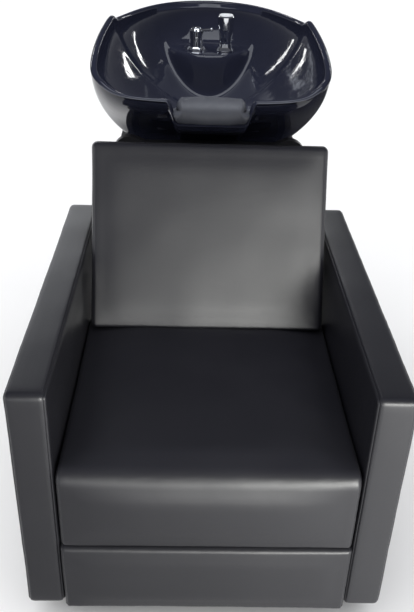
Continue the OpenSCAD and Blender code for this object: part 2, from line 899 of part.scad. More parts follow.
shank_l = 40;
module mixer_body() {
  color("silver")
    turned([mixer_pos[0], mixer_pos[1], deck_z], [[0, -shank_l], [mixer_shank_r, -shank_l],
      [mixer_shank_r, 1], [mixer_r + 6, 1],
      [mixer_r + 6, 4], [mixer_r + 3, 8], [mixer_r, 10], [mixer_r - 1, 34], [8, 34], [8, 40], [0, 40]]);
}

// Turning cap over the cartridge; its socket holds the lever
cap_z = deck_z + 34.3;
lever_turn_rest = -28;
module mixer_cap() {
  color("silver")
    difference() {
      turned([mixer_pos[0], mixer_pos[1], cap_z], [[8.05, 0], [mixer_r - 1, 0], [mixer_r - 1, 13],
        [mixer_r - 5, 18], [8, 21], [0, 22], [0, 6], [8.05, 6]]);
      translate([mixer_pos[0], mixer_pos[1], cap_z + 8])
        rotate([0, 0, lever_turn_rest])
          translate([7, -5, 0])
            cube([20, 10, 20]);
    }
}

module mixer_lever() {
  color("silver")
    translate([mixer_pos[0], mixer_pos[1], cap_z + 12.5])
      rotate([0, 0, lever_turn_rest]) {
        translate([12, -4.6, 0])
          rotate([-90, 0, 0])
            cylinder(r = 4, h = 9.2);
        translate([12, 0, 0])
          rotate([0, 78, 0]) {
            cylinder(r = 3.6, h = 30);
            translate([0, 0, 30])
              sphere(4.6, $fn = 48);
          }
      }
}

// Nuts that clamp the waste, the mixer and the spray holder from under the bowl
module back_nuts() {
  color("silver") {
    hex_nut([0, bowl_mid, well_z - wall_t - 14], 76, 9, 25.2);
    hex_nut([mixer_pos[0], mixer_pos[1], deck_z - wall_t - 15], 46, 9, mixer_shank_r + run_gap);
    hex_nut([spray_pos[0], spray_pos[1], deck_z - wall_t - 15], 34, 9, 13.05);
  }
}

module spray_holder() {
  color("silver")
    turned([spray_pos[0], spray_pos[1], deck_z], [[8.5, -40], [13, -40], [13, 1],
      [spray_base_r, 1], [spray_base_r, 5],
      [17, 11], [15, 20], [12.5, 20], [10, 12], [8.5, 8]]);
}

spray_z = deck_z + 20.4;
module spray_body() {
  color("silver")
    turned([spray_pos[0], spray_pos[1], spray_z], [[0, -6], [8, -6], [10.5, 0], [14, 0], [15, 5], [15.5, 14],
      [spray_r, 34], [spray_r, 62], [spray_r - 2, 65], [0, 65]]);
}

module spray_face() {
  color("gainsboro")
    difference() {
      turned([spray_pos[0], spray_pos[1], spray_z + 65],
             [[0, 0], [spray_r - 3, 0], [spray_r - 4, 2.5], [0, 3.5]]);
      for (k = [1:2], a = [0:60 / k:359])
        translate([spray_pos[0] + 6 * k * cos(a), spray_pos[1] + 6 * k * sin(a), spray_z + 66])
          cylinder(r = 0.9, h = 4);
    }
}

// ---- Hoses ----

spray_hose_r = 6.5;
spray_hose_l = 215;
module spray_hose() {
  color("#9a9ca0")
    rod_z([spray_pos[0], spray_pos[1], spray_z - 6 - spray_hose_l], spray_hose_r, spray_hose_l);
}

hose_gap = 1.2;                          // between a hose's end and what it joins
loop_top = [spray_pos[0], spray_pos[1], spray_z - 6 - spray_hose_l - hose_gap];
loop_end = [mixer_pos[0], mixer_pos[1] - 8, deck_z - shank_l - hose_gap];
loop_pts = [loop_top, loop_top + [0, 0, -20], loop_top + [-12, -12, -42], loop_top + [-40, -22, -48],
            [-26, bowl_y0 + 392, loop_top[2] - 26], [-42, bowl_y0 + 396, loop_top[2] + 20],
            [-44, bowl_y0 + 412, loop_top[2] + 60], loop_end + [-5, -6, -50], loop_end + [0, 0, -20],
            loop_end];
module spray_hose_loop() {
  color("#9a9ca0")
    hose(loop_pts, spray_hose_r, 3);
}

tail_z = well_z - 34 - 78 - hose_gap;
waste_pts = [[0, bowl_mid, tail_z], [0, bowl_mid, tail_z - 40], [0, bowl_mid + 4, tail_z - 120],
             [6, bowl_mid + 20, tail_z - 220], [24, bowl_mid + 40, tail_z - 320],
             [50, bowl_mid + 52, outlet_spot[1] + 66], [66, bowl_mid + 72, outlet_spot[1] + 22],
             [74, bowl_mid + 104, outlet_spot[1] + 2],
             [outlet_spot[0], ped_y1 - panel_t - 50, outlet_spot[1]],
             [outlet_spot[0], ped_y1 - panel_t - 30.5, outlet_spot[1]]];
module waste_hose() {
  color("#6a6c70")
    hose(waste_pts, outlet_r - 1, 3);
}

// Braided tails from the mixer shank to the inlets, one to each side
tail_x = [8, -8];
function supply_pts(k) =
  let(p = inlet_spots[k], x0 = mixer_pos[0] + tail_x[k], y0 = mixer_pos[1] + 5,
      z0 = deck_z - shank_l - hose_gap)
  [[x0, y0, z0], [x0, y0, z0 - 30], [x0 - 4, y0 - 10, z0 - 140],
   [p[0] + 6, y0 - 27, z0 - 260], [p[0] + 2, y0 - 41, z0 - 400],
   [p[0], y0 - 49, p[1] + 90], [p[0], y0 - 47, p[1] + 40],
   [p[0], y0 - 33, p[1] + 8], [p[0], ped_y1 - panel_t - 30, p[1]],
   [p[0], ped_y1 - panel_t - 15.5, p[1]]];
module supply_hoses() {
  color("#9a9ca0")
    for (k = [0, 1])
      hose(supply_pts(k), 6, 3);
}

arm_cover_left();
arm_cover_right();
arm_core_left();
arm_core_right();
seat_cushion();
seat_board();
kick_cushion();
kick_board();
seat_side_rails();
seat_cross_rails();
seat_posts();
arm_bolts();
back_cushion();
back_board();
back_brackets();
back_bolts();
base_side_rails();
base_crossbars();
glide_feet();
foot_screws();
housing_front();
housing_left();
housing_right();
housing_shelf();
housing_rear();
housing_screws();
service_door();
door_leaves();
frame_leaves();
hinge_pins();
door_knob();
door_strike();
magnet_catch();
waste_outlet();
water_inlets();
tilt_brackets();
bracket_bolts();
pivot_bolts();
friction_washers();
pivot_nuts();
tilt_cradle();
cradle_bolts();
cradle_pads();
bowl();
neck_rest();
waste_flange();
waste_gasket();
tailpiece();
strainer();
mixer_body();
mixer_cap();
mixer_lever();
back_nuts();
spray_holder();
spray_body();
spray_face();
spray_hose();
spray_hose_loop();
waste_hose();
supply_hoses();
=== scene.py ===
"""Looks of the shampoo backwash unit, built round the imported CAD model. Metres, same frame as the CAD."""
import json
import math

import bpy
import numpy as np
from mathutils import Matrix, Vector, noise
from mathutils.bvhtree import BVHTree
from mathutils.kdtree import KDTree

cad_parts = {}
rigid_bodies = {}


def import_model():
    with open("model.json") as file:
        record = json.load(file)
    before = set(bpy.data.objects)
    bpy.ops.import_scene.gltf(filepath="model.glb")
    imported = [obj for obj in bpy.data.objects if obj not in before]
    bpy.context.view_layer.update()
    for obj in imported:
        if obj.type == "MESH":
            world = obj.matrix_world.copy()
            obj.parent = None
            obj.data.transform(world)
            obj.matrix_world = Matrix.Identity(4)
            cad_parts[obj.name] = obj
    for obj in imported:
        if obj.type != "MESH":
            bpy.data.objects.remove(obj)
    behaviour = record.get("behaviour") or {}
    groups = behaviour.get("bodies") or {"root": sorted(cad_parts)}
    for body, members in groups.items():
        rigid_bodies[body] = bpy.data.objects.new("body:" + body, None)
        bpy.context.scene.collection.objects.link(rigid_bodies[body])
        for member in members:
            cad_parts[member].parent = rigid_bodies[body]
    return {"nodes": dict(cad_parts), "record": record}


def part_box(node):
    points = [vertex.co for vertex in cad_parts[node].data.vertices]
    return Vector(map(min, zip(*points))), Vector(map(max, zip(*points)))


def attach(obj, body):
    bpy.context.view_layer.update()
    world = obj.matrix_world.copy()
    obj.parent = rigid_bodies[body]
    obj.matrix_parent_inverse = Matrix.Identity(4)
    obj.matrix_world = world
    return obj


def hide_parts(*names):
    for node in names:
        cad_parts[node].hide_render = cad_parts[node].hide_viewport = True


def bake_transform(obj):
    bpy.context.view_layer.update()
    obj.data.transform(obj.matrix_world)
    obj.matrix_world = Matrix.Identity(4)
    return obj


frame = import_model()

MM = 0.001
FLOOR_WHITE = (0.86, 0.86, 0.86)
STITCH_LENGTH = 4.2 * MM
STITCH_RADIUS = 0.42 * MM
STITCH_STEP = 6.2 * MM  # from one stitch to the next
STITCH_GAP = 4.5 * MM  # from the seam to its row of stitches
HOSE_GAP = 0.5 * MM  # from the end of a hose to its fitting
JOINTS = {j["name"]: j for j in frame["record"]["behaviour"]["joints"]}
NODES = frame["nodes"]
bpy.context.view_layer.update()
scene = bpy.context.scene


# ---------------------------------------------------------------- camera, light and floor

def make_camera():
    """The photograph's viewpoint: in front of the chair and above its back, looking down."""
    eye = (-0.042, -1.5173, 1.2476)
    pitch, yaw, roll = (math.radians(a) for a in (30.4, 1.7, -1.9))
    ahead = Vector((math.sin(yaw) * math.cos(pitch), math.cos(yaw) * math.cos(pitch), -math.sin(pitch)))
    level = Vector((math.cos(yaw), -math.sin(yaw), 0))
    down = ahead.cross(level)
    right = math.cos(roll) * level + math.sin(roll) * down
    below = math.cos(roll) * down - math.sin(roll) * level
    data = bpy.data.cameras.new("camera")
    data.lens = 45.16
    data.sensor_width = 36
    data.clip_start = 0.02
    camera = bpy.data.objects.new("camera", data)
    turn = Matrix((right, -below, -ahead)).transposed().to_4x4()
    camera.matrix_world = Matrix.Translation(eye) @ turn
    scene.collection.objects.link(camera)
    scene.camera = camera


def make_glow(name, place, target, size, radiance, along=None, colour=(1, 1, 1), only=None):
    """A soft rectangle of light.

    along is the direction of its first size, and only is the collection that it lights.
    """
    data = bpy.data.lights.new(name, "AREA")
    data.shape = "RECTANGLE"
    data.size, data.size_y = size
    data.energy = radiance * math.pi * size[0] * size[1]
    data.color = colour
    light = bpy.data.objects.new(name, data)
    back = (Vector(place) - Vector(target)).normalized()
    across = Vector(along) if along else Vector((0, 0, 1)).cross(back)
    across = (across - back * across.dot(back)).normalized()
    turn = Matrix((across, back.cross(across), back)).transposed().to_4x4()
    light.matrix_world = Matrix.Translation(place) @ turn
    light.visible_camera = False
    light.light_linking.receiver_collection = only
    scene.collection.objects.link(light)


def make_strip(name, a, b, target, width, radiance, only):
    """A tube lamp from a to b."""
    a, b = Vector(a), Vector(b)
    make_glow(name, (a + b) / 2, target, ((b - a).length, width), radiance, along=b - a, only=only)


def make_lights():
    """An even sky, soft boxes for the upholstery, and lamps whose reflections draw the bowl."""
    chair = (0, 0, 0.5)
    bowl = (0, 0.3, 0.85)
    fill = bpy.data.lights.new("sky_fill", "SUN")
    fill.energy = 3.7
    fill.angle = 1.9
    light = bpy.data.objects.new("sky_fill", fill)
    light.rotation_euler = (math.radians(14), math.radians(-10), 0)
    light.visible_glossy = False
    scene.collection.objects.link(light)
    make_glow("window", (1.12, -3.5, 0.96), chair, (1.4, 1.1), 20, colour=(1, 1, 0.96), only=SOFT)
    make_glow("low_board", (0.85, -1.4, 0.02), (0.25, -0.6, 0.3), (1.1, 0.8), 2.6, only=SOFT)
    make_glow("back_wall", (-0.7, 3.6, 1.55), chair, (3.4, 1.0), 2.3, colour=(0.96, 0.98, 1), only=SOFT)
    make_strip("tube_right", (2.27, 1.96, 1.60), (1.60, 2.42, 2.06), bowl, 0.06, 26, HARD)
    make_strip("tube_left", (-2.10, 2.25, 1.55), (-1.50, 2.30, 2.30), bowl, 0.05, 22, HARD)
    make_strip("tube_back", (-0.35, 3.0, 2.75), (-0.05, 3.0, 2.75), bowl, 0.07, 24, HARD)
    make_glow("ceiling", (0.1, 0.2, 3.3), (0, 0.3, 0.8), (2.6, 1.4), 2.8, along=(1, 0, 0),
              colour=(0.90, 0.94, 1), only=WASH)


def make_world():
    """Pale at eye level and dim overhead for light and reflections, and plain white to look at."""
    world = bpy.data.worlds.new("studio")
    world.use_nodes = True
    tree = world.node_tree
    back = tree.nodes["Background"]
    where = tree.nodes.new("ShaderNodeTexCoord")
    split = tree.nodes.new("ShaderNodeSeparateXYZ")
    ramp = tree.nodes.new("ShaderNodeValToRGB")
    tree.links.new(where.outputs["Generated"], split.inputs[0])
    tree.links.new(split.outputs["Z"], ramp.inputs[0])
    seen = tree.nodes.new("ShaderNodeLightPath").outputs["Is Camera Ray"]
    plain = tree.nodes.new("ShaderNodeMix")
    plain.data_type = "RGBA"
    plain.inputs["B"].default_value = (1, 1, 1, 1)
    tree.links.new(seen, plain.inputs["Factor"])
    tree.links.new(ramp.outputs[0], plain.inputs["A"])
    tree.links.new(plain.outputs["Result"], back.inputs["Color"])
    stops = ramp.color_ramp.elements
    stops[0].position, stops[0].color = 0.0, (0.95, 0.955, 0.97, 1)
    stops[1].position, stops[1].color = 1.0, (0.07, 0.075, 0.10, 1)
    for at, grey in ((0.03, 0.80), (0.12, 0.55), (0.22, 0.26), (0.36, 0.13), (0.50, 0.08)):
        stops.new(at).color = (grey, grey * 1.02, grey * 1.10, 1)
    scene.world = world


def make_floor():
    """A wide pale floor without gloss."""
    bpy.ops.mesh.primitive_plane_add(size=60)
    floor = bpy.context.object
    floor.name = "floor"
    paint = Paint("floor_white", FLOOR_WHITE, 0.6)
    paint.tint(paint.noise(3.0, detail=2), (0.85, 0.85, 0.85), (0.88, 0.88, 0.88))
    paint.set("Specular IOR Level", 0.0)
    floor.data.materials.append(paint.material)


def make_card(name, lo, hi, grey, fade=None):
    """A card lying on the floor to tone down what the gloss reflects. Only reflections see it.

    fade is the stretch of X over which it pales to the floor's own white.
    """
    height = 2 * MM
    corners = [(x, y, height) for x, y in ((lo[0], lo[1]), (hi[0], lo[1]), (hi[0], hi[1]), (lo[0], hi[1]))]
    paint = Paint(name + "_paint", (grey, grey, grey * 1.05), 0.9)
    paint.set("Specular IOR Level", 0.0)
    if fade:
        x = paint.node("ShaderNodeSeparateXYZ", [(0, paint.where)]).outputs["X"]
        paint.tint(paint.span(x, *fade, 0.0, 1.0), (grey, grey, grey), FLOOR_WHITE)
    card = make_object(name, corners, [(0, 1, 2, 3)], paint.material)
    card.visible_camera = card.visible_diffuse = card.visible_shadow = False
    card.visible_transmission = card.visible_volume_scatter = False


# ---------------------------------------------------------------- materials

class Paint:
    """A Principled material with helpers for its textures, all in object coordinates."""

    def __init__(self, name, colour, rough, metal=0.0, ior=1.5):
        self.material = bpy.data.materials.new(name)
        self.material.use_nodes = True
        self.tree = self.material.node_tree
        self.shader = self.tree.nodes["Principled BSDF"]
        self.set("Base Color", (*colour, 1))
        self.set("Roughness", rough)
        self.set("Metallic", metal)
        self.set("IOR", ior)
        self.where = self.tree.nodes.new("ShaderNodeTexCoord").outputs["Object"]
        self.normal = None

    def set(self, socket, value):
        self.shader.inputs[socket].default_value = value

    def node(self, kind, links=(), **values):
        """A new node. links pairs a socket with a value or an output, and values are the node's settings."""
        made = self.tree.nodes.new(kind)
        for key, value in values.items():
            setattr(made, key, value)
        for socket, source in links:
            if hasattr(source, "is_linked"):
                self.tree.links.new(source, made.inputs[socket])
            else:
                made.inputs[socket].default_value = source
        return made

    def noise(self, scale, detail=3, stretch=(1, 1, 1)):
        where = self.where
        if stretch != (1, 1, 1):
            where = self.node("ShaderNodeMapping", [("Vector", where), ("Scale", stretch)]).outputs[0]
        links = [("Vector", where), ("Scale", scale), ("Detail", detail)]
        return self.node("ShaderNodeTexNoise", links).outputs[0]

    def cells(self, scale, feature="F1", warp=0.0):
        where = self.where
        if warp:
            links = [("Vector", where), ("Scale", scale * 0.6)]
            drift = self.node("ShaderNodeTexNoise", links).outputs["Color"]
            drift = self.vector_maths("MULTIPLY", drift, (warp / scale,) * 3)
            where = self.vector_maths("ADD", where, drift)
        links = [("Vector", where), ("Scale", scale)]
        return self.node("ShaderNodeTexVoronoi", links, feature=feature).outputs[0]

    def vector_maths(self, how, a, b):
        return self.node("ShaderNodeVectorMath", [(0, a), (1, b)], operation=how).outputs[0]

    def span(self, source, low, high, to_low, to_high):
        """The source, stretched from low..high to to_low..to_high and held inside it."""
        links = [("Value", source), ("From Min", low), ("From Max", high)]
        links += [("To Min", to_low), ("To Max", to_high)]
        return self.node("ShaderNodeMapRange", links).outputs[0]

    def plus(self, a, b):
        return self.node("ShaderNodeMath", [(0, a), (1, b)], operation="ADD").outputs[0]

    def times(self, a, b):
        return self.node("ShaderNodeMath", [(0, a), (1, b)], operation="MULTIPLY").outputs[0]

    def tint(self, share, dark, light):
        """Makes the base colour run from dark to light by share."""
        mix = self.node("ShaderNodeMix", [("Factor", share)], data_type="RGBA")
        mix.inputs["A"].default_value = (*dark, 1)
        mix.inputs["B"].default_value = (*light, 1)
        self.tree.links.new(mix.outputs["Result"], self.shader.inputs["Base Color"])

    def tint_on(self, share, light):
        """Lays another colour over what the base colour is now, by share."""
        mix = self.node("ShaderNodeMix", [("Factor", share)], data_type="RGBA")
        under = self.shader.inputs["Base Color"]
        if under.is_linked:
            self.tree.links.new(under.links[0].from_socket, mix.inputs["A"])
        else:
            mix.inputs["A"].default_value = under.default_value
        mix.inputs["B"].default_value = (*light, 1)
        self.tree.links.new(mix.outputs["Result"], under)

    def roughness(self, source):
        self.tree.links.new(source, self.shader.inputs["Roughness"])

    def bump(self, height, distance, strength=1.0):
        links = [("Height", height), ("Distance", distance), ("Strength", strength)]
        if self.normal:
            links.append(("Normal", self.normal))
        self.normal = self.node("ShaderNodeBump", links).outputs[0]
        self.tree.links.new(self.normal, self.shader.inputs["Normal"])

    def worn_edges(self, low=0.52, high=0.62):
        """0 on flats, 1 on the sharpest outward edges."""
        point = self.node("ShaderNodeNewGeometry").outputs["Pointiness"]
        return self.span(point, low, high, 0.0, 1.0)


def leathercloth():
    p = Paint("leathercloth", (0.008, 0.008, 0.010), 0.40)
    cloud = p.noise(9, detail=4)
    p.tint(cloud, (0.006, 0.006, 0.0085), (0.011, 0.011, 0.014))
    p.tint_on(p.times(p.worn_edges(), 0.35), (0.022, 0.022, 0.026))
    p.roughness(p.span(p.noise(300, detail=4), 0.3, 0.7, 0.37, 0.44))
    p.bump(p.noise(9, detail=1), 0.0012, 0.08)
    p.bump(p.cells(620, "DISTANCE_TO_EDGE", warp=0.5), 0.00022, 0.5)
    p.bump(p.noise(2600, detail=2), 0.00006, 0.6)
    p.set("Specular IOR Level", 0.85)
    return p.material


def thread():
    p = Paint("thread", (0.03, 0.03, 0.034), 0.55)
    p.tint(p.noise(900), (0.02, 0.02, 0.024), (0.045, 0.045, 0.05))
    p.bump(p.noise(3000, stretch=(1, 1, 0.2)), 0.0001)
    return p.material


def black_glaze():
    p = Paint("black_glaze", (0.012, 0.0135, 0.024), 0.05, ior=1.45)
    p.tint(p.noise(14, detail=5), (0.0095, 0.0107, 0.019), (0.0145, 0.016, 0.028))
    p.roughness(p.span(p.noise(40, detail=4), 0.3, 0.7, 0.03, 0.09))
    p.bump(p.noise(20, detail=2), 0.0016, 0.32)
    p.bump(p.noise(75, detail=2), 0.0003, 0.35)
    p.bump(p.noise(240, detail=2), 0.00004, 0.25)
    return p.material


def gel():
    p = Paint("gel_rubber", (0.041, 0.043, 0.052), 0.52)
    p.tint(p.noise(22, detail=4), (0.032, 0.034, 0.042), (0.050, 0.053, 0.064))
    p.roughness(p.span(p.noise(90, detail=4), 0.3, 0.7, 0.44, 0.60))
    p.bump(p.noise(1400, detail=3), 0.00008, 0.6)
    p.set("Coat Weight", 0.15)
    p.set("Coat Roughness", 0.35)
    return p.material


def chrome():
    p = Paint("chrome", (0.80, 0.81, 0.83), 0.06, metal=1.0)
    p.tint(p.noise(30, detail=4), (0.76, 0.77, 0.79), (0.84, 0.85, 0.87))
    p.roughness(p.span(p.noise(180, detail=5), 0.35, 0.7, 0.035, 0.13))
    p.bump(p.noise(260), 0.00002, 0.5)
    return p.material


def zinc(name, colour, rough):
    p = Paint(name, colour, rough, metal=1.0)
    spangle = p.cells(150)
    p.tint(spangle, [c * 0.82 for c in colour], [min(1, c * 1.12) for c in colour])
    dull = p.times(p.noise(120, detail=5), spangle)
    p.roughness(p.span(dull, 0.05, 0.35, rough - 0.08, rough + 0.12))
    p.bump(p.noise(700, detail=4), 0.00004, 0.7)
    return p.material


def powder_coat():
    p = Paint("powder_coat", (0.022, 0.022, 0.024), 0.5)
    p.tint(p.noise(20, detail=4), (0.018, 0.018, 0.020), (0.028, 0.028, 0.030))
    p.tint_on(p.times(p.worn_edges(), 0.5), (0.09, 0.09, 0.09))
    p.roughness(p.span(p.noise(90, detail=4), 0.3, 0.7, 0.42, 0.58))
    p.bump(p.noise(900, detail=2), 0.00010, 0.6)
    return p.material


def melamine():
    p = Paint("black_melamine", (0.014, 0.014, 0.016), 0.42)
    p.tint(p.noise(34, detail=6), (0.011, 0.011, 0.013), (0.020, 0.020, 0.022))
    p.tint_on(p.times(p.worn_edges(0.53, 0.66), 0.4), (0.08, 0.075, 0.07))
    p.roughness(p.span(p.noise(70, detail=5), 0.3, 0.7, 0.36, 0.50))
    p.bump(p.noise(420, detail=4), 0.00008, 0.5)
    return p.material


def wood(name, dark, light, layered):
    p = Paint(name, light, 0.62)
    links = [("Vector", p.where), ("Scale", 18), ("Distortion", 6.0), ("Detail", 4.0), ("Detail Scale", 1.2)]
    rings = p.node("ShaderNodeTexWave", links, bands_direction="X").outputs["Fac"]
    fibre = p.noise(60, detail=5, stretch=(6, 0.5, 6))
    p.tint(p.plus(p.times(rings, 0.5), p.times(fibre, 0.5)), dark, light)
    if layered:
        links = [("Vector", p.where), ("Scale", 110), ("Distortion", 0.6)]
        plies = p.node("ShaderNodeTexWave", links, bands_direction="Z").outputs["Fac"]
        p.tint_on(p.span(plies, 0.6, 1.0, 0.0, 0.35), [c * 0.5 for c in dark])
    p.roughness(p.span(fibre, 0.3, 0.7, 0.52, 0.74))
    p.bump(fibre, 0.0002, 0.6)
    return p.material


def plastic(name, colour, rough, grain=900):
    p = Paint(name, colour, rough)
    p.tint(p.noise(30, detail=4), [c * 0.85 for c in colour], [c * 1.15 for c in colour])
    p.roughness(p.span(p.noise(120, detail=4), 0.3, 0.7, rough - 0.07, rough + 0.08))
    p.bump(p.noise(grain, detail=3), 0.00006, 0.6)
    return p.material


def brass():
    p = Paint("brass", (0.70, 0.56, 0.30), 0.28, metal=1.0)
    p.tint(p.noise(60, detail=5), (0.58, 0.44, 0.22), (0.76, 0.62, 0.36))
    p.roughness(p.span(p.noise(200, detail=5), 0.3, 0.7, 0.2, 0.4))
    p.bump(p.noise(800), 0.00004, 0.6)
    return p.material


def braid():
    p = Paint("steel_braid", (0.48, 0.49, 0.51), 0.34, metal=1.0)
    lines = p.cells(900)
    p.tint(lines, (0.34, 0.35, 0.37), (0.62, 0.63, 0.65))
    p.roughness(p.span(lines, 0.0, 0.8, 0.25, 0.5))
    p.bump(lines, 0.0002, 0.8)
    return p.material


def make_materials():
    """The material of every slot in the record, and the thread of the topstitching."""
    return {
        "upholstery": leathercloth(),
        "plywood": wood("birch_plywood", (0.42, 0.27, 0.13), (0.66, 0.48, 0.28), True),
        "timber": wood("softwood", (0.34, 0.21, 0.10), (0.58, 0.41, 0.22), False),
        "black_board": melamine(),
        "frame_steel": powder_coat(),
        "zinc_steel": zinc("zinc_plate", (0.55, 0.56, 0.59), 0.36),
        "fasteners": zinc("bright_zinc", (0.64, 0.64, 0.65), 0.24),
        "foot_plastic": plastic("black_nylon", (0.02, 0.02, 0.021), 0.5),
        "black_rubber": plastic("black_rubber", (0.016, 0.016, 0.017), 0.72, grain=500),
        "gel_rubber": gel(),
        "glaze": black_glaze(),
        "chrome": chrome(),
        "spray_plastic": plastic("spray_plate", (0.60, 0.61, 0.63), 0.3),
        "brass": brass(),
        "waste_plastic": plastic("waste_plastic", (0.05, 0.05, 0.055), 0.45),
        "corrugated_hose": plastic("hose_plastic", (0.20, 0.20, 0.21), 0.5),
        "braided_hose": braid(),
        "thread": thread(),
    }


# ---------------------------------------------------------------- meshes

def make_object(name, points, faces, material):
    mesh = bpy.data.meshes.new(name)
    mesh.from_pydata([tuple(p) for p in points], [], [tuple(f) for f in faces])
    mesh.validate()
    mesh.materials.append(material)
    mesh.polygons.foreach_set("use_smooth", [True] * len(mesh.polygons))
    mesh.update()
    made = bpy.data.objects.new(name, mesh)
    scene.collection.objects.link(made)
    return made


def ring_faces(rings, sides):
    """Quads between a stack of closed rings of points, in order."""
    j, i = np.meshgrid(np.arange(rings - 1), np.arange(sides), indexing="ij")
    k = (i + 1) % sides
    here, above = j * sides, (j + 1) * sides
    return np.stack([here + i, here + k, above + k, above + i], -1).reshape(-1, 4)


def weld(made, distance):
    """Joins the points of a mesh that lie within the distance of each other."""
    made.modifiers.new("weld", "WELD").merge_threshold = distance


def unit_rows(v):
    return v / np.linalg.norm(v, axis=1)[:, None]


def eased(t):
    c = np.clip(t, 0, 1)
    return c * c * (3 - 2 * c)


def step_up(v, a, b):
    """0 below a, 1 above b and eased between them."""
    return eased((v - a) / (b - a))


# ---------------------------------------------------------------- upholstery

class SoftBox:
    """A padded box: rounded, crowned and seamed. Its points are worked out in its own frame and then placed.

    r_lo and r_hi are its rounding in millimetres at the low and high end of each axis, cell is the spacing of
    its grid, crown how far its faces swell along each axis, and pinch how far its sides draw in between the
    corners. The seams run round the two faces that look along seam_axis. The faces in flat, as (axis, sign),
    stay flat.
    """

    GROOVE, GROOVE_WIDTH = 0.8 * MM, 0.9 * MM
    ROLL, ROLL_PLACE, ROLL_WIDTH = 0.3 * MM, 3.2 * MM, 1.8 * MM
    PUCKER, PUCKER_REACH, PUCKERS_PER_M = 0.5 * MM, 9 * MM, 95
    WANDER, WANDERS_PER_M = 0.7 * MM, 11

    def __init__(self, lo, hi, r_lo, r_hi, cell, crown, seam_axis, pinch=0.0, flat=()):
        self.lo, self.hi = np.array(lo, float), np.array(hi, float)
        self.r_lo, self.r_hi = np.array(r_lo, float) * MM, np.array(r_hi, float) * MM
        self.cell, self.crown = cell, crown
        self.axis, self.pinch, self.flat = seam_axis, pinch, flat
        self.mid, self.half = (self.lo + self.hi) / 2, (self.hi - self.lo) / 2
        self.r = float(min(self.r_lo[seam_axis], self.r_hi[seam_axis]))

    def lines(self, axis, fine):
        """Grid lines along one side: close together over the rounded edges when fine."""
        lo, hi = self.lo[axis], self.hi[axis]
        steps = [0, 0.03, 0.07, 0.12, 0.18, 0.26, 0.38, 0.54, 0.76] if fine else [0, 0.35, 0.7]
        steps = np.array(steps)
        first, last = steps * self.r_lo[axis], steps * self.r_hi[axis]
        a, b = lo + self.r_lo[axis], hi - self.r_hi[axis]
        count = max(2, round((b - a) / self.cell / (1 if fine else 1.6)))
        return np.concatenate([lo + first, np.linspace(a, b, count + 1), (hi - last)[::-1]])

    def surface(self, fine):
        """(points, quads) of the plain box's surface on its grid lines."""
        grid = [self.lines(a, fine) for a in range(3)]
        size = [len(g) for g in grid]
        ids, points, quads = {}, [], []
        for axis in range(3):
            a, b = (axis + 1) % 3, (axis + 2) % 3
            for side in (0, size[axis] - 1):
                patch = np.zeros((size[a], size[b]), int)
                for i in range(size[a]):
                    for j in range(size[b]):
                        key = [0, 0, 0]
                        key[axis], key[a], key[b] = side, i, j
                        key = tuple(key)
                        if key not in ids:
                            ids[key] = len(points)
                            points.append([grid[0][key[0]], grid[1][key[1]], grid[2][key[2]]])
                        patch[i, j] = ids[key]
                four = [patch[:-1, :-1], patch[1:, :-1], patch[1:, 1:], patch[:-1, 1:]]
                four = np.stack(four if side else four[::-1], -1).reshape(-1, 4)
                quads.append(four)
        return np.array(points), np.concatenate(quads)

    def rounded(self, points):
        """The points moved on to the rounded box, and the outward direction at each."""
        core = np.clip(points, self.lo + self.r_lo, self.hi - self.r_hi)
        off = points - core
        r = np.where(off < 0, self.r_lo, self.r_hi)
        way = unit_rows(off / r)
        return core + r * way, unit_rows(way / r)

    def swell(self, p, out):
        """How far foam and stretch carry each point outwards from the plain rounded box."""
        u = np.clip((p - self.mid) / self.half, -1, 1)
        bulge = np.zeros_like(p)
        for axis in range(3):
            a, b = (axis + 1) % 3, (axis + 2) % 3
            dome = (1 - np.abs(u[:, a]) ** 2.6) * (1 - np.abs(u[:, b]) ** 2.6)
            lift = self.crown[axis] * dome * np.abs(out[:, axis]) ** 1.5
            if (axis, 1) in self.flat:
                lift = np.where(out[:, axis] > 0, 0, lift)
            if (axis, -1) in self.flat:
                lift = np.where(out[:, axis] < 0, 0, lift)
            bulge[:, axis] += np.sign(out[:, axis]) * lift
        if self.pinch:
            for axis in range(3):
                along = 1 - u[:, (axis + 1) % 3] ** 2
                along = along * (1 - u[:, (axis + 2) % 3] ** 6)
                near = np.clip((np.abs(u[:, axis]) - 0.8) / 0.2, 0, 1) ** 2
                bulge[:, axis] -= np.sign(u[:, axis]) * near * along * self.pinch
        return bulge

    def seam_distance(self, out):
        """Distance over the surface from the seams, each half-way over the rounded edge of a face."""
        across = np.abs(out[:, self.axis])
        along = np.sqrt(np.clip(1 - across ** 2, 0, 1))
        return self.r * np.abs(np.arctan2(along, across) - math.pi / 4)

    def dress(self, p, out, seed):
        """Seam groove, the roll beside it, the puckers that its stitches draw and a slow unevenness."""
        d = self.seam_distance(out)
        groove = -self.GROOVE * np.exp(-(d / self.GROOVE_WIDTH) ** 2)
        roll = self.ROLL * np.exp(-((d - self.ROLL_PLACE) / self.ROLL_WIDTH) ** 2)
        near = np.exp(-(d / self.PUCKER_REACH) ** 2)
        aside, behind = Vector((seed, 0, 0)), Vector((0, seed, 0))
        pucker = np.array([noise.noise(Vector(q) * self.PUCKERS_PER_M + aside) for q in p])
        wander = np.array([noise.noise(Vector(q) * self.WANDERS_PER_M + behind) for q in p])
        return out * (groove + roll + self.PUCKER * near * pucker + self.WANDER * wander)[:, None]

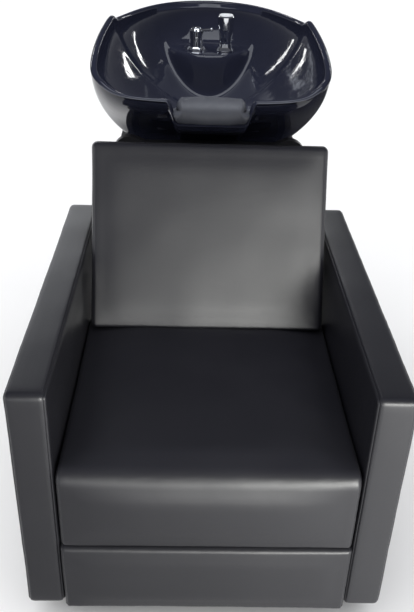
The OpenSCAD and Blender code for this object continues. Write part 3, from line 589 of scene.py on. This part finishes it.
    def loop(self, sign, offset, step):
        """Points about a step apart round the box, at a distance from one seam."""
        a, b = (self.axis + 1) % 3, (self.axis + 2) % 3
        lo, hi = self.lo + self.r_lo, self.hi - self.r_hi
        turn = math.pi / 4 + offset / self.r
        corners = [(hi[a], hi[b]), (lo[a], hi[b]), (lo[a], lo[b]), (hi[a], lo[b])]
        points = []
        for k in range(4):
            here, after = np.array(corners[k]), np.array(corners[(k + 1) % 4])
            for angle in np.linspace(k * math.pi / 2, (k + 1) * math.pi / 2, 7)[:-1]:
                points.append((here, angle))
            for t in np.arange(0, 1, step / np.linalg.norm(after - here)):
                points.append((here + (after - here) * t, (k + 1) * math.pi / 2))
        made = []
        for corner, angle in points:
            out = np.zeros(3)
            out[self.axis] = sign * math.cos(turn)
            out[a], out[b] = math.sin(turn) * math.cos(angle), math.sin(turn) * math.sin(angle)
            core = np.zeros(3)
            core[self.axis] = hi[self.axis] if sign > 0 else lo[self.axis]
            core[a], core[b] = corner
            made.append(core + np.where(out < 0, self.r_lo, self.r_hi) * out)
        return np.array(made)


def inflate(points, quads, pinned, pressure, frames=20):
    """How far each point of a cloth skin moves under air pressure, held at its pinned points."""
    skin = make_object("skin", points, quads, MATERIALS["upholstery"])
    held = skin.vertex_groups.new(name="held")
    held.add([int(i) for i in np.nonzero(pinned)[0]], 1.0, "REPLACE")
    cloth = skin.modifiers.new("cloth", "CLOTH")
    s = cloth.settings
    s.quality = 7
    s.mass = 0.35
    s.tension_stiffness = s.compression_stiffness = 22
    s.shear_stiffness = 12
    s.bending_stiffness = 3
    s.tension_damping = s.compression_damping = 12
    s.air_damping = 3
    s.use_pressure = True
    s.uniform_pressure_force = pressure
    s.vertex_group_mass = "held"
    s.effector_weights.gravity = 0
    cloth.collision_settings.use_collision = False
    cloth.point_cache.frame_start, cloth.point_cache.frame_end = 1, frames
    for frame_number in range(1, frames + 1):
        scene.frame_set(frame_number)
    result = skin.evaluated_get(bpy.context.evaluated_depsgraph_get())
    moved = np.zeros(len(points) * 3)
    result.data.vertices.foreach_get("co", moved)
    moved = moved.reshape(-1, 3) - points
    scene.frame_set(1)
    bpy.data.objects.remove(skin)
    return moved


def spread(rest, moved, points, reach):
    """The coarse skin's movement carried over to the fine points, averaged over about the reach."""
    neighbours = 24
    tree = KDTree(len(rest))
    for i, p in enumerate(rest):
        tree.insert(p, i)
    tree.balance()
    result = np.zeros_like(points)
    for n, p in enumerate(points):
        near = tree.find_n(p, neighbours)
        weight = np.array([math.exp(-0.5 * (d / reach) ** 2) + 1e-9 for _, _, d in near])
        result[n] = (moved[[i for _, i, _ in near]] * weight[:, None]).sum(0) / weight.sum()
    return result


def capped(move, limit):
    """The same movement, cut to the limit where it is longer."""
    length = np.linalg.norm(move, axis=1)[:, None]
    return move * np.minimum(1, limit / np.maximum(length, 1e-9))


def stitch_mesh(points, ahead, outs):
    """Short rounded threads, each lying along the surface at its point."""
    sides = 6
    profile = [(-1.0, 0.25), (-0.8, 0.8), (-0.3, 1.0), (0.3, 1.0), (0.8, 0.8), (1.0, 0.25)]
    angles = [2 * math.pi * k / sides for k in range(sides)]
    quads = ring_faces(len(profile), sides)
    verts, faces = [], []
    for p, t, n in zip(points, ahead, outs):
        side = np.cross(t, n)
        start = len(verts)
        for along, size in profile:
            core = p + t * along * STITCH_LENGTH / 2 - n * 0.35 * STITCH_RADIUS * along * along
            for a in angles:
                verts.append(core + STITCH_RADIUS * size * (math.cos(a) * side + math.sin(a) * n))
        faces += [tuple(q + start) for q in quads]
        faces.append(tuple(start + k for k in range(sides))[::-1])
        faces.append(tuple(start + (len(profile) - 1) * sides + k for k in range(sides)))
    return verts, faces


def stitch_places(soft, place, tree, stitched):
    """Where a cushion's stitches lie on its finished skin, the way each runs and its outward direction."""
    closest = 3.5 * MM
    seats, ways, normals = [], [], []
    for sign, side in stitched:
        line = place(soft.loop(sign, side * STITCH_GAP, STITCH_STEP))
        for i, q in enumerate(line):
            hit, normal, _, _ = tree.find_nearest(Vector(q))
            normal = np.array(normal)
            after = line[(i + 1) % len(line)] - line[i - 1]
            after = after - normal * after.dot(normal)
            if np.linalg.norm(after) > 1e-6 and np.linalg.norm(q - line[i - 1]) > closest:
                seats.append(np.array(hit))
                ways.append(after / np.linalg.norm(after))
                normals.append(normal)
    return seats, ways, normals


def simulated(soft, points, pressure, limit):
    """How far air pressure moves the points of a padded box, held at its seams and on its flat faces."""
    rough_points, rough_quads = soft.surface(False)
    rest, rest_out = soft.rounded(rough_points)
    held = soft.seam_distance(rest_out) < 0.2 * soft.r
    for axis, sign in soft.flat:
        held |= rest_out[:, axis] * sign > 0.9
    moved = capped(inflate(rest, rough_quads, held, pressure), limit)
    return spread(rest, moved, points, 1.5 * soft.cell)


def make_cushion(name, node, soft, place, seed, pressure, limit, stitched=((1, 1), (-1, 1))):
    """Builds one padded piece and its topstitching.

    place turns the box's own frame into the CAD frame. stitched gives each row of stitches by the end of the
    seam axis that its seam is at, and by 1 for the side of the seam that lies away from the face.
    """
    plain_points, quads = soft.surface(True)
    p, out = soft.rounded(plain_points)
    bulge = 0.5 * soft.swell(p, out) + simulated(soft, p, pressure, limit)
    final = place(p + bulge + soft.dress(p, out, seed))
    cushion = make_object(name, final, quads, MATERIALS["upholstery"])
    tree = BVHTree.FromPolygons([tuple(v) for v in final], [tuple(q) for q in quads])
    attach(cushion, "base")
    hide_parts(node)
    verts, faces = stitch_mesh(*stitch_places(soft, place, tree, stitched))
    stitches = make_object(name + "_stitching", verts, faces, MATERIALS["thread"])
    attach(stitches, "base")


def as_is(points):
    return np.array(points, float)


def make_upholstery():
    """The five padded pieces. Seat and kick panel are a little wider than the CAD, to meet the arms."""
    for side, seed in (("left", 3), ("right", 7)):
        lo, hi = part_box("arm_cover_" + side)
        arm = SoftBox(lo, hi, (12, 12, 12), (12, 12, 12), 13 * MM, (1.2 * MM, 0.8 * MM, 0.8 * MM), 0)
        make_cushion("arm_pad_" + side, "arm_cover_" + side, arm, as_is, seed, 0.5, 2.5 * MM)
    wider = np.array([1.6 * MM, 0, 0])
    lo, hi = (np.array(c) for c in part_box("seat_cushion"))
    seat = SoftBox(lo - wider, hi + wider, (11, 26, 7), (11, 26, 28), 10 * MM,
                   (0.4 * MM, 2.5 * MM, 7 * MM), 0, flat=((2, -1),))
    make_cushion("seat_pad", "seat_cushion", seat, as_is, 11, 2.2, 9 * MM)
    lo, hi = (np.array(c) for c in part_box("kick_cushion"))
    kick = SoftBox(lo - wider, hi + wider, (9, 13, 7), (9, 13, 10), 9 * MM,
                   (0.4 * MM, 3 * MM, 0.5 * MM), 0, flat=((1, 1),))
    make_cushion("kick_pad", "kick_cushion", kick, as_is, 17, 1.5, 4 * MM)
    make_back()


def make_back():
    """The leaning back cushion, worked out upright in (x, thickness, length) and then leaned on its foot."""
    corners = [np.array(v.co) for v in NODES["back_board"].data.vertices]
    top = max(corners, key=lambda v: v[2])
    low = min(corners, key=lambda v: v[2] + v[1] * 0.01)
    lean = math.atan2(top[1] - low[1], top[2] - low[2])
    up = np.array([0, math.sin(lean), math.cos(lean)])
    out = np.array([0, math.cos(lean), -math.sin(lean)])
    length, thick, rounding = 396 * MM, 70 * MM, 22 * MM
    lo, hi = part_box("back_cushion")
    half = (hi[0] - lo[0]) / 2
    overhang = rounding * (1 / math.cos(lean) + math.tan(lean) - 1)
    foot = np.array([0, lo[1] - overhang, lo[2]])

    def place(points):
        """Leans the points. The lower end is cut level, so that it stands flat on the seat."""
        x, deep, high = points.T
        high = high + np.clip(1 - high / length, 0, 1) * deep * math.tan(lean)
        return foot + np.outer(x, [1, 0, 0]) + np.outer(deep, out) + np.outer(high, up)

    back = SoftBox((-half, 0, 2 * MM), (half, thick, length - 1 * MM), (14, 22, 14), (14, 22, 14), 10 * MM,
                   (-1.0 * MM, 4 * MM, -0.5 * MM), 1, pinch=1.5 * MM, flat=((1, 1),))
    make_cushion("back_pad", "back_cushion", back, place, 23, 0.6, 3 * MM, stitched=((-1, 1),))


# ---------------------------------------------------------------- bowl

class Bowl:
    """Points of the bowl's surfaces in millimetres, by the CAD solid's rules but much closer together.

    phi runs round the drain, h from 0 below the skirt to 1 at the rim, and s from 0 in the drain to 1 at the
    lip. t sets a surface in from the outline and d lowers it.
    """

    WING_SLOPE, WING_Y, WING_EASE = 0.355, 14, (4, 68)  # the rim's rise towards the ears
    EAR_Y = (306, 336)  # where it drops from the ears to the rear rim
    REAR_LIFT, REAR_RISE, REAR_EASE = 96, 9, (338, 548)
    NOTCH_X, NOTCH_Y = (70, 92), (58, 168)  # where the neck notch fades out
    FRONT_OVAL, REAR_OVAL = 2.6, 1.9  # squareness of the outline
    GIRTH_POWERS = (2.38, 0.3125)  # how the skirt narrows towards its foot
    FOOT_SETBACK, FOOT_RUN = 150, 0.75  # how its front draws back
    WIDEST_Y, WIDEST_SHIFT = 148, 90  # where it is widest, and how that moves back
    REAR_OFFSET, REAR_SPAN = -20, -238
    FOOT, ARCH, ARCH_X, ARCH_MID = 0.1, 0.07, (66, 100), -12
    BASIN = 0.75  # share of the dish that is a plain parabola
    LEDGE_DROP, LEDGE_RAMP, LEDGE_BOW = 40, (40, 26), 0.006
    SEAT_LIFT, SEAT_EDGE, SEAT_FADE = 1, 1, 12  # of the level seats under the taps
    SOFTENING = 20  # of the crease between the dish and the ledge

    def __init__(self):
        lo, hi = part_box("bowl")
        pivot = JOINTS["bowl_tilt"]["pos_m"]
        self.width = (hi[0] - lo[0]) / MM
        self.length = (hi[1] - lo[1]) / MM
        self.front = lo[1] / MM
        self.mid = pivot[1] / MM
        self.base = pivot[2] / MM
        self.rim = self.base + 172
        self.notch = 48
        self.rim_t, self.wall_t = 15, 12
        self.well = self.base + 72
        self.deck = self.base + 178
        self.deck_y = self.front + 356
        self.seats = []
        for name in ("mixer_body", "spray_holder"):
            lo, hi = np.array(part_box(name)) / MM
            self.seats.append(((lo[0] + hi[0]) / 2, (lo[1] + hi[1]) / 2, (hi[0] - lo[0]) / 2))

    def rim_height(self, x, y):
        """Height of the rim over its outline: wings that rise to two ears, a lower rear rim, a neck notch."""
        d = y - self.front
        wing = self.rim + self.WING_SLOPE * np.maximum(d - self.WING_Y, 0) * step_up(d, *self.WING_EASE)
        rear = self.rim + self.REAR_LIFT + self.REAR_RISE * step_up(d, *self.REAR_EASE)
        ear = step_up(d, *self.EAR_Y)
        notch = (1 - step_up(np.abs(x), *self.NOTCH_X)) * (1 - step_up(d, *self.NOTCH_Y))
        return wing * (1 - ear) + rear * ear - self.notch * notch

    def outline(self, phi, h, t):
        """The bowl from above: an oval that is squarer in front than behind."""
        girth = (1 - (1 - h) ** self.GIRTH_POWERS[0]) ** self.GIRTH_POWERS[1]
        half = self.width / 2 * girth - t
        front = self.front + self.FOOT_SETBACK * eased((1 - h) / self.FOOT_RUN) + t
        back = self.mid + self.REAR_OFFSET + (self.length + self.REAR_SPAN) * girth - t
        mid = self.front + self.WIDEST_Y + self.WIDEST_SHIFT * (1 - h)
        c, s = np.cos(phi), np.sin(phi)
        power = np.where(s < 0, 2 / self.FRONT_OVAL, 2 / self.REAR_OVAL)
        reach = np.where(s < 0, mid - front, back - mid)
        return half * np.sign(c) * np.abs(c) ** power, mid + reach * np.sign(s) * np.abs(s) ** power

    def rim_over(self, phi):
        return self.rim_height(*self.outline(phi, 1.0, 0))

    def skirt(self, phi, h, t):
        x, y = self.outline(phi, h, t)
        return np.stack([x, y, self.base + (self.rim_over(phi) - self.base) * h], 1)

    def edge(self, phi):
        """Ring value of the skirt's lower edge, raised to an arch behind for the hoses."""
        x, _ = self.outline(phi, self.FOOT, 0)
        arch = self.ARCH * (1 - step_up(np.abs(x - self.ARCH_MID), *self.ARCH_X))
        return self.FOOT + np.where(np.sin(phi) > 0, arch, 0)

    def lip(self, phi, a):
        """The round lip at angle a: 0 outside, a quarter turn on top and half a turn inside."""
        x, y = self.outline(phi, 1.0, self.rim_t / 2 * (1 - math.cos(a)))
        return np.stack([x, y, self.rim_over(phi) - self.rim_t / 2 * (1 - math.sin(a))], 1)

    def dish(self, phi, s, t, d):
        """The dish with the tap ledge standing in it, and the ledge's level seats under the taps."""
        rim_x, rim_y = self.outline(phi, 1.0, self.rim_t + t)
        x, y = rim_x * s, self.mid + (rim_y - self.mid) * s
        top = self.rim_over(phi) - self.rim_t / 2
        rise = self.BASIN * s * s + (1 - self.BASIN) * (1 - (1 - s ** 6) ** 0.4)
        base = self.well + (top - self.well) * rise
        front = self.deck_y + self.LEDGE_BOW * x * x + t
        foot = self.well - self.LEDGE_DROP
        ramp = step_up(y, front - self.LEDGE_RAMP[0], front + self.LEDGE_RAMP[1])
        ledge = foot + (self.deck - foot) * ramp
        z = (base + ledge + np.sqrt((base - ledge) ** 2 + self.SOFTENING ** 2)) / 2
        for seat_x, seat_y, r in self.seats:
            seat = 1 - step_up(np.hypot(x - seat_x, y - seat_y), r + self.SEAT_EDGE, r + self.SEAT_FADE)
            z = z * (1 - seat) + (self.deck + self.SEAT_LIFT) * seat
        return np.stack([x, y, z - d], 1)

    def hole(self, phi, r, z):
        return np.stack([r * np.cos(phi), self.mid + r * np.sin(phi), np.full_like(phi, z)], 1)


def make_bowl():
    """One closed skin of rings: the dish, the lip, the skirt outside and inside, and the dish from below."""
    bowl = Bowl()
    sides = 384
    drain_r, drain_s = 30.0, 0.14
    phi = np.arange(sides) * 2 * math.pi / sides
    foot = bowl.edge(phi)
    to_lip = 1 - (1 - np.linspace(drain_s, 0.9999, 70)) ** 1.25
    inner = [bowl.dish(phi, s, 0, 0) for s in to_lip]
    lip = [bowl.lip(phi, a) for a in np.linspace(math.pi, 0, 13)]
    skirt = [bowl.skirt(phi, foot + (0.985 - foot) * u, 0) for u in np.linspace(1, 0, 46)]
    edge = [bowl.skirt(phi, foot - sink, t) for sink, t in ((0.008, 2), (0.011, 6), (0.008, 10))]
    inside = [bowl.skirt(phi, foot + (0.76 - foot) * u, bowl.wall_t) for u in np.linspace(0, 1, 22)]
    under = [bowl.dish(phi, s, 6 * s, bowl.wall_t + 2 * s) for s in np.linspace(0.82, drain_s, 34)]
    bottom = bowl.hole(phi, drain_r, bowl.well - bowl.wall_t)
    throat = bowl.hole(phi, drain_r, bowl.well - 3)
    mouth = bowl.hole(phi, drain_r + 0.8, bowl.well)
    rings = [throat, mouth] + inner + lip + skirt + edge + inside + under + [bottom, throat]
    faces = ring_faces(len(rings), sides)
    shell = make_object("bowl_shell", np.concatenate(rings) * MM, faces[:, ::-1], MATERIALS["glaze"])
    weld(shell, 0.02 * MM)
    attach(shell, "bowl_unit")
    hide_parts("bowl")


def make_gel_rest():
    """A saddle of gel over the neck notch: gripped at a waist, with flared lower corners and full middle."""
    lo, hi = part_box("neck_rest")
    half = (hi[0] - lo[0]) / 2
    bowl = Bowl()
    mid_y, mid_z = (bowl.front + 24) * MM, (bowl.rim - bowl.notch + 22) * MM
    deep, tall, saddle = 34 * MM, 23 * MM, 14 * MM
    columns, around = 110, 96
    phi = np.arange(around) * 2 * math.pi / around
    height = np.sin(phi)
    below = np.clip(-height, 0, 1)
    waist = 13 * MM * np.exp(-((height - 0.25) / 0.36) ** 2) + 9 * MM * step_up(height, 0.2, 0.9)
    rings = []
    for x in np.sin(np.linspace(-math.pi / 2, math.pi / 2, columns)):
        full = max(1 - abs(x) ** 11, 0) ** 0.40
        rise = saddle * (1 - x * x)
        lip = 1.6 * MM * math.exp(-((abs(x) - 0.84) / 0.07) ** 2)
        sag = 10 * MM * (1 - x * x) * below
        wave = 0.8 * MM * math.sin(x * 11) * below
        rings.append(np.stack([x * (half - waist * (0.35 + 0.65 * x * x)),
                               mid_y + rise * (1 + height) / 2 + (deep * full + lip) * np.cos(phi),
                               mid_z + (tall * full + lip) * height - sag + wave], 1))
    points = np.concatenate(rings)
    gel_rest = make_object("gel_neck_rest", points, ring_faces(columns, around), MATERIALS["gel_rubber"])
    weld(gel_rest, 0.05 * MM)
    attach(gel_rest, "bowl_unit")
    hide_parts("neck_rest")


# ---------------------------------------------------------------- hoses

def eased_route(points):
    """Catmull-Rom curve through the points."""
    per = 12
    p = np.array(points, float)
    last = len(p) - 1
    made = []
    for i in range(last):
        a, b, c, d = p[max(i - 1, 0)], p[i], p[i + 1], p[min(i + 2, last)]
        for t in np.arange(per) / per:
            made.append(0.5 * (2 * b + (c - a) * t + (2 * a - 5 * b + 4 * c - d) * t * t
                               + (3 * b - a - 3 * c + d) * t * t * t))
    made.append(p[last])
    return np.array(made)


def even_steps(path, step):
    """The same line with its points about a step apart, and the distance along it to each."""
    run = np.concatenate([[0], np.cumsum(np.linalg.norm(np.diff(path, axis=0), axis=1))])
    where = np.linspace(0, run[-1], max(4, round(run[-1] / step)) + 1)
    return np.stack([np.interp(where, run, path[:, k]) for k in range(3)], 1), where


def tube(path, run, sides, radius_at):
    """Points and faces of a tube whose radius is radius_at(distance along, angle round)."""
    askew = (0.9, 0.3, 0.05)
    ahead = unit_rows(np.gradient(path, axis=0))
    side = np.cross(ahead[0], askew)
    a = np.arange(sides) * 2 * math.pi / sides
    rings = []
    for p, t, s in zip(path, ahead, run):
        side = side - t * side.dot(t)
        side = side / np.linalg.norm(side)
        other = np.cross(t, side)
        r = radius_at(s, a)
        rings.append(p + np.outer(r * np.cos(a), side) + np.outer(r * np.sin(a), other))
    faces = [tuple(f[::-1]) for f in ring_faces(len(rings), sides)]
    faces.append(tuple(range(sides)))
    faces.append(tuple((len(rings) - 1) * sides + k for k in range(sides))[::-1])
    return np.concatenate(rings), faces


def corrugated(r, depth, pitch):
    """Radius of a hose with round corrugations."""
    return lambda s, a: r - depth / 2 + depth / 2 * np.cos(2 * math.pi * s / pitch) + 0 * a


def braided(r):
    """Radius of a hose under a braid of crossing wires."""
    wires, depth, pitch = 8, 0.3 * MM, 9 * MM

    def radius(s, a):
        twist = 2 * math.pi * s / pitch
        return r - depth + depth * np.maximum(np.cos(wires * a + twist), np.cos(wires * a - twist))
    return radius


def middle(name):
    """The middle of a CAD node's box."""
    lo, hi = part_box(name)
    return [(a + b) / 2 for a, b in zip(lo, hi)]


def make_waste_hose():
    """On the CAD route, from the tailpiece under the drain to the spigot in the rear panel."""
    mid = JOINTS["bowl_tilt"]["pos_m"][1]
    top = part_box("tailpiece")[0][2]
    out_x, _, out_z = middle("waste_outlet")
    out_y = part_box("waste_outlet")[0][1]
    route = [(0, mid, top), (0, mid, top - 0.040), (0, mid + 0.004, top - 0.120),
             (0.006, mid + 0.020, top - 0.220), (0.024, mid + 0.040, top - 0.320),
             (0.050, mid + 0.052, out_z + 0.066), (0.066, mid + 0.072, out_z + 0.022),
             (0.074, mid + 0.104, out_z + 0.002), (out_x, out_y - 0.020, out_z),
             (out_x, out_y - HOSE_GAP, out_z)]
    path, run = even_steps(eased_route(route), 0.9 * MM)
    points, faces = tube(path, run, 28, corrugated(19 * MM, 2.4 * MM, 5.4 * MM))
    hose = make_object("corrugated_waste_hose", points, faces, MATERIALS["corrugated_hose"])
    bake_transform(hose)
    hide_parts("waste_hose")


def make_supply_hoses():
    """On the CAD routes, from the mixer's shank to the two inlets in the rear panel."""
    mx, my, _ = middle("mixer_body")
    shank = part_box("mixer_body")[0][2]
    inlet_y, inlet_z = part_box("water_inlets")[0][1], middle("water_inlets")[2]
    all_points, all_faces = [], []
    for inlet, start in ((-0.060, 8 * MM), (-0.115, -8 * MM)):
        x, y = mx + start, my + 0.005
        route = [(x, y, shank), (x, y, shank - 0.030), (x - 0.004, y - 0.010, shank - 0.140),
                 (inlet + 0.006, y - 0.027, shank - 0.260), (inlet + 0.002, y - 0.041, shank - 0.400),
                 (inlet, y - 0.049, inlet_z + 0.090), (inlet, y - 0.047, inlet_z + 0.040),
                 (inlet, y - 0.033, inlet_z + 0.008), (inlet, inlet_y - 0.015, inlet_z),
                 (inlet, inlet_y - HOSE_GAP, inlet_z)]
        path, run = even_steps(eased_route(route), 1.1 * MM)
        points, faces = tube(path, run, 32, braided(6 * MM))
        before = sum(len(p) for p in all_points)
        all_points.append(points)
        all_faces += [tuple(i + before for i in f) for f in faces]
    points = np.concatenate(all_points)
    hose = make_object("braided_supply_hoses", points, all_faces, MATERIALS["braided_hose"])
    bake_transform(hose)
    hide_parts("supply_hoses")


def make_spray_hose():
    """The straight length that lifts with the spray, and the loop from its end back to the mixer's shank."""
    mx, my, _ = middle("mixer_body")
    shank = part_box("mixer_body")[0][2]
    sx, sy, _ = middle("spray_hose")
    s_lo, s_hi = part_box("spray_hose")
    top, front = s_lo[2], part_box("bowl")[0][1]
    flex = corrugated(6.5 * MM, 0.9 * MM, 2.6 * MM)

    path, run = even_steps(np.array([(sx, sy, top), (sx, sy, s_hi[2])]), 0.65 * MM)
    points, faces = tube(path, run, 24, flex)
    hose = make_object("spray_flex_hose", points, faces, MATERIALS["chrome"])
    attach(hose, "spray")
    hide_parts("spray_hose")

    route = [(sx, sy, top), (sx, sy, top - 0.020), (sx - 0.012, sy - 0.012, top - 0.042),
             (sx - 0.040, sy - 0.022, top - 0.048), (-0.026, front + 0.392, top - 0.026),
             (-0.042, front + 0.396, top + 0.020), (-0.044, front + 0.412, top + 0.060),
             (mx - 0.005, my - 0.014, shank - 0.050), (mx, my - 0.008, shank - 0.020),
             (mx, my - 0.008, shank)]
    path, run = even_steps(eased_route(route), 0.65 * MM)
    points, faces = tube(path, run, 24, flex)
    hose = make_object("spray_flex_loop", points, faces, MATERIALS["chrome"])
    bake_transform(hose)
    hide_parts("spray_hose_loop")


# ---------------------------------------------------------------- CAD nodes that stay

# Bevel widths in millimetres, by material slot
BEVELS = {"plywood": 0.8, "timber": 1.5, "black_board": 1.0, "frame_steel": 1.2, "zinc_steel": 0.5,
          "fasteners": 0.4, "foot_plastic": 0.8, "chrome": 0.5, "brass": 0.3, "waste_plastic": 0.4,
          "spray_plastic": 0.2, "black_rubber": 0.5}


def finish_cad_nodes():
    """Puts the right material on every CAD node and breaks the sharp edges of those that are shown."""
    for row in frame["record"]["subparts"]:
        node, slot = NODES[row["node"]], row["material_slot"]
        if not node.material_slots:
            node.data.materials.append(None)
        for holder in node.material_slots:
            holder.material = MATERIALS[slot]
        if node.hide_render:
            continue
        weld(node, 0.01 * MM)
        bevel = node.modifiers.new("bevel", "BEVEL")
        bevel.width = BEVELS.get(slot, 0.5) * MM
        bevel.segments = 2
        bevel.limit_method = "ANGLE"
        bevel.angle_limit = math.radians(32)
        normals = node.modifiers.new("normals", "WEIGHTED_NORMAL")
        normals.weight = 100
        normals.keep_sharp = True
        node.data.polygons.foreach_set("use_smooth", [True] * len(node.data.polygons))


def light_upholstery():
    """The soft boxes light the cushions and their stitches."""
    for piece in list(scene.objects):
        if "_pad" in piece.name:
            SOFT.objects.link(piece)


def light_hard_pieces():
    """The tube lamps light the other pieces that ride on a body, and the ceiling the bowl's and its taps'."""
    for piece in list(scene.objects):
        if piece.type == "MESH" and piece.parent and piece.name not in SOFT.objects:
            HARD.objects.link(piece)
            if piece.parent.name.split(":")[-1] not in ("base", "door"):
                WASH.objects.link(piece)


SOFT = bpy.data.collections.new("lit_soft")
HARD = bpy.data.collections.new("lit_hard")
WASH = bpy.data.collections.new("lit_wash")
MATERIALS = make_materials()
make_camera()
make_world()
make_floor()
make_card("card_front", (-1.7, -1.9), (0.32, -0.595), 0.27, fade=(-0.34, 0.32))
make_card("card_rear", (0.34, 0.35), (1.6, 2.4), 0.05)
make_lights()
scene.view_settings.view_transform = "Standard"

make_upholstery()
light_upholstery()
make_bowl()
make_gel_rest()
make_waste_hose()
make_supply_hoses()
make_spray_hose()
finish_cad_nodes()
light_hard_pieces()
